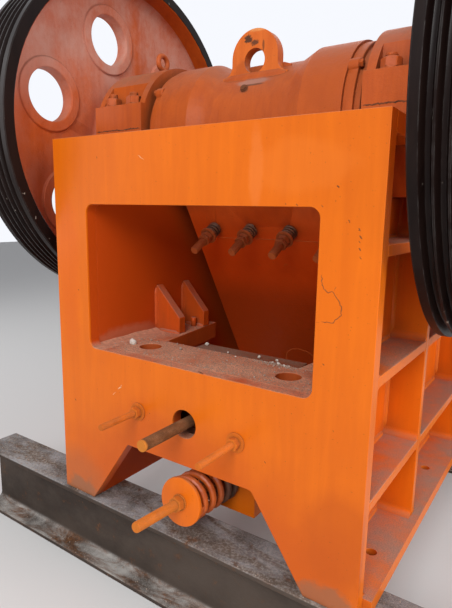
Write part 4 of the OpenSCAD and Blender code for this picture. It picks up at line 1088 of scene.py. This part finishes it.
class CRUSHER_OT_wheels(bpy.types.Operator):
    """Finishes the flywheels: soft castings and turned rims with rounded V-grooves"""

    bl_idname = "crusher.wheels"
    bl_label = "Flywheels"

    def execute(self, context):
        for side, name in ((-1, "left"), (1, "right")):
            fit(softened(f"flywheel_{name}", 0.0035), paints()["web"], "rotor",
                (f"flywheel_{name}",))
            rim = Shell()
            rim.grid(self.rim(side), wrap_rows=True, wrap_cols=True)
            fit(rim.object(f"rim_{name}_turned", 35), paints()["rim"], "rotor", (f"rim_{name}",))
        return {"FINISHED"}

    def rim(self, side):
        """The rim's section with its grooves rounded at the root, turned about the shaft."""
        low, high = machine("rim_right")
        start, width, outer, inner = low[0], high[0] - low[0], (high[2] - low[2]) / 2, (high[2] - low[2]) / 2 - 35
        pitch, depth, count = 25.5, 18.0, 5
        land = (width - count * pitch) / 2
        section = [(inner + 3, 0), (outer - 2.5, 0), (outer, 2.5)]
        for k in range(count):
            x = land + (k + 0.5) * pitch
            for dx, fall in ((-10.9, 0), (-10.5, 0.8), (-5.2, 16.2), (-4.2, 17.6), (-2.6, depth), (2.6, depth),
                             (4.2, 17.6), (5.2, 16.2), (10.5, 0.8), (10.9, 0)):
                section.append((outer - fall, x + dx))
        section += [(outer, width - 2.5), (outer - 2.5, width), (inner + 3, width), (inner, width - 3), (inner, 3)]
        profile = [(r * MM, h * MM) for r, h in section]
        centre = np.array(SHAFT) + X_AXIS * side * start * MM
        return revolved(profile, centre, X_AXIS * side, 192)


class CRUSHER_OT_frame(bpy.types.Operator):
    """Finishes the frame's plates: soft edges, fillets in the lattice and welds"""

    bl_idname = "crusher.frame"
    bl_label = "Frame"

    def execute(self, context):
        plate = paints()["plate"]
        fit(softened("rear_wall", 0.0035), paints()["rear"], "frame", ("rear_wall",))
        for node in ("side_wall_left", "side_wall_right"):
            fit(softened(node, 0.002), paints()["wall"], "frame", (node,))
        for node, width in (("side_ribs", 0.0022), ("side_posts", 0.0022), ("base_flanges", 0.0025),
                            ("front_wall", 0.002), ("front_ribs", 0.002), ("front_posts", 0.002),
                            ("beam_floor", 0.002), ("spring_bracket", 0.003)):
            dusty = node in ("side_ribs", "base_flanges", "front_ribs", "beam_floor")
            fit(softened(node, width), paints()["rib"] if dusty else plate, "frame", (node,))
        fit(softened("adjusting_block", 0.003), paints()["block"], "frame", ("adjusting_block",))
        for node, paint in (("shelf_plate", "shelf"), ("guide_arms", "shelf"), ("guide_gussets", "gusset")):
            fit(softened(node, 0.0025), paints()[paint], "frame", (node,))
        self.corners()
        self.welds()
        self.marks()
        return {"FINISHED"}

    def marks(self):
        """Cracks and scratches in the paint, as thin ribbons along a wandering line on the plate or the pitman."""
        rng = np.random.default_rng(4)
        cracks, scratches, creases = Shell(), Shell(), Shell()

        def ribbon(shell, corners, width, wander, body_point):
            corners = np.array(corners, float)
            along = np.concatenate([[0], np.cumsum(np.linalg.norm(np.diff(corners, axis=0), axis=1))])
            s = np.linspace(0, along[-1], max(6, int(along[-1] / 4)))
            line = np.stack([np.interp(s, along, corners[:, k]) for k in (0, 1)], axis=1)
            line[1:-1] += rng.normal(0, wander, (len(s) - 2, 2))
            path = np.array([body_point(*point) for point in line])
            size = width * np.clip(np.minimum(s, along[-1] - s) / 12 + 0.3, 0, 1) * rng.uniform(0.6, 1.2, len(s))
            flat = circle(1.0, 6) * np.array((0.3, 1.0))
            rows = [swept(path, flat * w * MM / 2, -Y_AXIS)[k] for k, w in enumerate(size)]
            shell.grid(np.array(rows), wrap_cols=True, cap=True)

        def on_plate(x, z):
            return place(x, 0, z)

        ribbon(cracks, [(359, 745), (360, 738), (365, 716), (376, 710), (385, 714), (398, 697), (407, 680), (404, 664),
                        (389, 648), (364, 648)], 2.0, 1.0, on_plate)
        ribbon(cracks, [(388, 716), (392, 724)], 1.6, 0.6, on_plate)
        ribbon(cracks, [(44, 477), (60, 475)], 5.0, 0.8, on_plate)
        for x, z, size in ((383, 922, 5), (352, 884, 4), (296, 886, 4), (270, 887, 3), (372, 560, 4), (-392, 640, 4),
                           (-300, 1004, 4), (402, 420, 3), (-424, 300, 5), (-120, 330, 3), (240, 300, 4),
                           (409, 856, 5), (431, 841, 5), (434, 827, 6), (433, 817, 4), (434, 803, 5), (437, 786, 4)):
            ribbon(cracks, [(x, z), (x + size * 0.8, z - size)], size, 0.5, on_plate)
        ribbon(scratches, [(-260, 350), (-246, 361)], 2.6, 0.8, on_plate)
        ribbon(scratches, [(-238, 372), (-222, 386)], 5.0, 1.2, on_plate)
        ribbon(scratches, [(-150, 1002), (-128, 990)], 2.0, 0.8, on_plate)
        cap = machine("bearing_cap_right")
        for side in (-1, 1):
            ends = [(side * (cap[k][0] + (5, -5)[k]), cap[0][2]) for k in (0, 1)]
            ribbon(cracks, ends, 4.0, 1.0, lambda x, z: place(x, cap[0][1] - 0.2, z))
        fit(cracks.object("paint_cracks"), paints()["crack"], "frame")
        fit(scratches.object("paint_scratches"), paints()["scratch"], "frame")

        def on_slab(x, z):
            return place(x, 375 + 0.6 * (884 - z), z)

        ribbon(creases, [(-280, 779), (-60, 783), (290, 784)], 3.0, 0.3, on_slab)
        ribbon(creases, [(8, 700), (30, 706)], 2.5, 0.8, on_slab)
        ribbon(creases, [(-90, 698), (-70, 694)], 2.0, 0.8, on_slab)
        ring = [(-15 + 66 * math.cos(a), 322 + 56 * math.sin(a)) for a in np.linspace(0, 2 * np.pi, 49)]
        ribbon(creases, ring, 4.0, 0.0, on_slab)
        fit(creases.object("slab_marks"), paints()["crease"], "swing_jaw")

    def cells(self):
        """The cells of the side lattice as (y0, y1, z0, z1), from the ribs and the posts."""
        length = machine("side_wall_right")[1][1]
        columns = [(35, 420), (444, 1026), (1050, length - 24)]
        levels = [(33, 239), (263, 517), (541, 786), (810, 1017)]
        return [(y0, y1, z0, z1) for y0, y1 in columns for z0, z1 in levels]

    def corners(self):
        """Round fillets of radius r in the corners of each cell: the curve is c + r (cos a, sin a) round the cell's inside."""
        radius, back, front = 19.0, 384.5, 478.0
        fillets = Shell()
        a = np.linspace(0, np.pi / 2, 8)
        for y0, y1, z0, z1 in self.cells():
            for y, z, sy, sz in ((y0, z0, 1, 1), (y1, z0, -1, 1), (y0, z1, 1, -1), (y1, z1, -1, -1)):
                if z1 > 1000 and sz < 0 and 200 < y < 640:
                    continue
                arc = [(y + sy * radius * (1 - math.cos(t)), z + sz * radius * (1 - math.sin(t))) for t in a]
                outline = arc + [(y + sy * radius, z - sz * 0.5), (y - sy * 0.5, z - sz * 0.5), (y - sy * 0.5, z + sz * radius)]
                for side in (-1, 1):
                    rows = [[place(side * x, *point) for point in outline] for x in (back, front)]
                    fillets.grid(np.array(rows), wrap_cols=True, cap=True)
        fit(fillets.object("lattice_fillets", 30), paints()["plate"], "frame")

    def welds(self):
        """Fillet welds where the ribs meet the side walls, round the gussets and under the arms."""
        beads, inner = Shell(), Shell()
        for n, (y0, y1, z0, z1) in enumerate(self.cells()):
            for side in (-1, 1):
                x, out = side * 385, X_AXIS * side
                lines = (
                    ((y0 + 12, z0), (y1 - 12, z0), Z_AXIS), ((y0, z0 + 12), (y0, z1 - 12), Y_AXIS),
                    ((y1, z0 + 12), (y1, z1 - 12), -Y_AXIS), ((y0 + 12, z1), (y1 - 12, z1), -Z_AXIS),
                )
                for k, (start, end, inward) in enumerate(lines):
                    if z1 > 1000 and k == 3:
                        continue
                    beads.grid(weld([place(x, *start), place(x, *end)], inward, out, 0.008, 0.030, 10 * n + k),
                               wrap_cols=True, cap=True)
        arm = machine("guide_arms")[1][2]
        for node_y, reach in ((300, 99), (437, 93)):
            for side in (-1, 1):
                for face, way in ((node_y - 15, -Y_AXIS), (node_y + 15, Y_AXIS)):
                    wall, foot = side * 350, side * (350 - reach)
                    inner.grid(weld([place(wall, face, arm + 6), place(wall, face, arm + 142)], way, -X_AXIS * side,
                                    0.008, 0.006, int(face)), wrap_cols=True, cap=True)
                    inner.grid(weld([place(wall - side * 6, face, arm), place(foot, face, arm)], way, Z_AXIS,
                                    0.008, 0.006, int(face) + 1), wrap_cols=True, cap=True)
        inner.grid(bar(place(-288, 406, arm - 1), place(-288, 406, arm + 31), 0.009), wrap_cols=True)
        self.seams()
        fit(beads.object("frame_welds", 60), paints()["plate"], "frame")
        fit(inner.object("gusset_welds", 60), paints()["gusset"], "frame")


    def seams(self):
        """Strips that fill the seams between the window's sides and the side walls, as welds ground flush do."""
        strips = Shell()
        wall = machine("side_wall_right")[0][0]
        joint = PLATE_T / MM
        for side in (-1, 1):
            corners = [(wall + 0.15, joint - 5), (wall + 8, joint - 5), (wall + 8, joint + 4), (wall + 0.15, joint + 4)]
            rows = [[place(side * x, y, z) for x, y in corners] for z in (480, 1000)]
            strips.grid(np.array(rows), wrap_cols=True, cap=True)
        fit(strips.object("window_seams", 30), paints()["rear"], "frame")


class CRUSHER_OT_beams(bpy.types.Operator):
    """Softens the rolled beams' edges"""

    bl_idname = "crusher.beams"
    bl_label = "Support beams"

    def execute(self, context):
        for node in ("support_beam_rear", "support_beam_front"):
            fit(softened(node, 0.003), paints()["beam"], "frame", (node,))
        return {"FINISHED"}


class CrusherGrit(bpy.types.PropertyGroup):
    """How much grit lies on the machine"""

    shelf: IntProperty(name="Shelf", description="Grains on the shelf and arms", default=900)
    beams: IntProperty(name="Beams", description="Grains on each support beam", default=1300)
    seed: IntProperty(name="Seed", description="Seed of the places", default=7)


STONE = np.array((
    (0, 0, 1), (0.894, 0, 0.447), (0.276, 0.851, 0.447), (-0.724, 0.526, 0.447), (-0.724, -0.526, 0.447),
    (0.276, -0.851, 0.447), (0.724, 0.526, -0.447), (-0.276, 0.851, -0.447), (-0.894, 0, -0.447),
    (-0.276, -0.851, -0.447), (0.724, -0.526, -0.447), (0, 0, -1),
))
STONE_FACES = np.array((
    (0, 1, 2), (0, 2, 3), (0, 3, 4), (0, 4, 5), (0, 5, 1), (1, 6, 2), (2, 7, 3), (3, 8, 4), (4, 9, 5), (5, 10, 1),
    (6, 7, 2), (7, 8, 3), (8, 9, 4), (9, 10, 5), (10, 6, 1), (11, 7, 6), (11, 8, 7), (11, 9, 8), (11, 10, 9), (11, 6, 10),
))


def stones(shell, places, sizes, rng, sink=0.3):
    """Broken stones: p = place + size * (radial noise on an icosahedron), turned at random and sunk a little."""
    for point, size in zip(places, sizes):
        corners = STONE * rng.uniform(0.62, 1.15, (12, 1)) * rng.uniform(0.7, 1.1, 3)
        a = rng.uniform(0, 2 * np.pi, 2)
        spin = np.array(((math.cos(a[0]), -math.sin(a[0]), 0), (math.sin(a[0]), math.cos(a[0]), 0), (0, 0, 1)))
        tip = np.array(((1, 0, 0), (0, math.cos(a[1]), -math.sin(a[1])), (0, math.sin(a[1]), math.cos(a[1]))))
        corners = corners @ (spin @ tip).T * size
        lift = -corners[:, 2].min() - sink * size
        shell.faces += (STONE_FACES + shell.count).tolist()
        shell.points.append(corners + point + Z_AXIS * lift)
        shell.count += 12


class CRUSHER_OT_grit(bpy.types.Operator):
    """Scatters stones, chips and fines on the shelf, the arms and the beams"""

    bl_idname = "crusher.grit"
    bl_label = "Grit"

    def execute(self, context):
        settings = context.scene.crusher_grit
        rng = np.random.default_rng(settings.seed)
        shelf = machine("shelf_plate")[1][2]
        front = machine("shelf_plate")[1][1]
        grit = Shell()
        places, sizes = [], []
        while len(places) < settings.shelf:
            edge = rng.random() < 0.45
            x = rng.uniform(-346, 346)
            y = rng.choice((front - 5 - abs(rng.normal(0, 14)), 44 + abs(rng.normal(0, 8)))) if edge else \
                rng.uniform(38, front - 4)
            if rng.random() < 0.35:
                x, y = -348 + abs(rng.normal(0, 22)), rng.uniform(4, 470)
            if rng.random() < 0.22:
                x, y = rng.normal(165, 38), front - 2 - abs(rng.normal(0, 12))
            on_arm = x < -262 and not any(abs(y - c) < 16 for c in (300, 437))
            if min(math.hypot(x - c, y - 115) for c in (-219, 235)) < 34 or not -347 < x < 347:
                continue
            if not (3 < y < front - 1 or (on_arm and y < 480)):
                continue
            places.append(place(x, y, shelf))
            sizes.append(MM * (0.9 + 1.4 * rng.random() ** 3 + (2.4 * rng.random() if rng.random() < 0.04 else 0)))
        stones(grit, places, sizes, rng)
        fit(grit.object("shelf_grit", 10), paints()["grit"], "frame")
        heap = Shell()
        y = np.linspace(0.5, 284.5, 72)
        t = np.linspace(0, 1, 18)
        swell = 1 + 0.20 * np.interp(y, np.linspace(0, 285, 7), rng.uniform(-1, 1, 7))
        across = -350 + 62 * t ** 1.6
        rise = 9 * np.exp(-(across + 350) / 19)[None, :] * swell[:, None] + rng.uniform(-0.1, 0.1, (72, 18)) - 0.5
        top = np.stack(np.broadcast_arrays(across[None, :], y[:, None], np.maximum(rise, -1.5)), axis=-1)
        base = top[:, ::-1].copy()
        base[..., 2] = -3
        rows = np.concatenate([top, base], axis=1) * MM + place(0, 0, shelf)
        heap.grid(rows, wrap_cols=True, cap=True)
        fit(heap.object("shelf_dust", 60), paints()["heap"], "frame")
        chips = Shell()
        top = machine("adjusting_block")[1][2]
        spots = [(-276, 99, shelf), (-165, 318, top), (44, 296, top), (100, 302, top), (-60, 285, top),
                 (168, front - 6, shelf), (188, front - 10, shelf), (150, front - 4, shelf), (40, front - 16, shelf)]
        sizes = [0.0135, 0.0075, 0.0050, 0.0055, 0.0040, 0.0060, 0.0050, 0.0045, 0.0035]
        stones(chips, [place(*spot) for spot in spots], sizes, rng, 0.2)
        fit(chips.object("shelf_stones", 10), paints()["stone"], "frame")
        fines = Shell()
        spots = [(rng.normal(172, 26), front - 3 - abs(rng.normal(0, 9)), shelf) for k in range(40)]
        stones(fines, [place(*spot) for spot in spots], rng.uniform(0.0014, 0.0036, 40), rng, 0.2)
        fit(fines.object("shelf_fines", 10), paints()["grit"], "frame")
        for node in ("support_beam_rear", "support_beam_front"):
            low, high = machine(node)
            sand = Shell()
            places, sizes = [], []
            while len(places) < settings.beams:
                x = rng.uniform(low[0] + 4, high[0] - 4)
                top = rng.random() < 0.7
                y = rng.uniform(low[1] + 4, high[1] - 4)
                z = high[2] if top else low[2] + 14
                under = top and (y > 0 if node.endswith("rear") else y < machine("side_wall_right")[1][1])
                if (under and abs(x) < 503) or (not top and abs(y - (low[1] + high[1]) / 2) < 22):
                    continue
                places.append(place(x, y, z))
                sizes.append(MM * (0.8 + 2.2 * rng.random() ** 3))
            stones(sand, places, sizes, rng)
            fit(sand.object(node + "_grit", 10), paints()["grit"], "frame")
        return {"FINISHED"}


class CRUSHER_PT_panel(bpy.types.Panel):
    """Lists the steps that finish the crusher"""

    bl_label = "Jaw crusher"
    bl_idname = "CRUSHER_PT_panel"
    bl_space_type = "VIEW_3D"
    bl_region_type = "UI"
    bl_category = "Crusher"

    def draw(self, context):
        for step in STEPS:
            self.layout.operator(step.bl_idname)
        for name, group in GROUPS.items():
            for prop in group.__annotations__:
                self.layout.prop(getattr(context.scene, name), prop)


STEPS = (
    CRUSHER_OT_stage, CRUSHER_OT_paint, CRUSHER_OT_frame, CRUSHER_OT_caps, CRUSHER_OT_pitman, CRUSHER_OT_wheels,
    CRUSHER_OT_gear, CRUSHER_OT_tension, CRUSHER_OT_studs, CRUSHER_OT_beams, CRUSHER_OT_grit,
)
GROUPS = {
    "crusher_stage": CrusherStage, "crusher_fasteners": CrusherFasteners, "crusher_grit": CrusherGrit,
}


def register():
    for name, group in GROUPS.items():
        bpy.utils.register_class(group)
        setattr(bpy.types.Scene, name, PointerProperty(type=group))
    for step in STEPS:
        bpy.utils.register_class(step)
    bpy.utils.register_class(CRUSHER_PT_panel)


def unregister():
    bpy.utils.unregister_class(CRUSHER_PT_panel)
    for step in reversed(STEPS):
        bpy.utils.unregister_class(step)
    for name, group in GROUPS.items():
        delattr(bpy.types.Scene, name)
        bpy.utils.unregister_class(group)


def main():
    register()
    for step in STEPS:
        group, name = step.bl_idname.split(".")
        getattr(getattr(bpy.ops, group), name)()


if __name__ == "__main__":
    main()
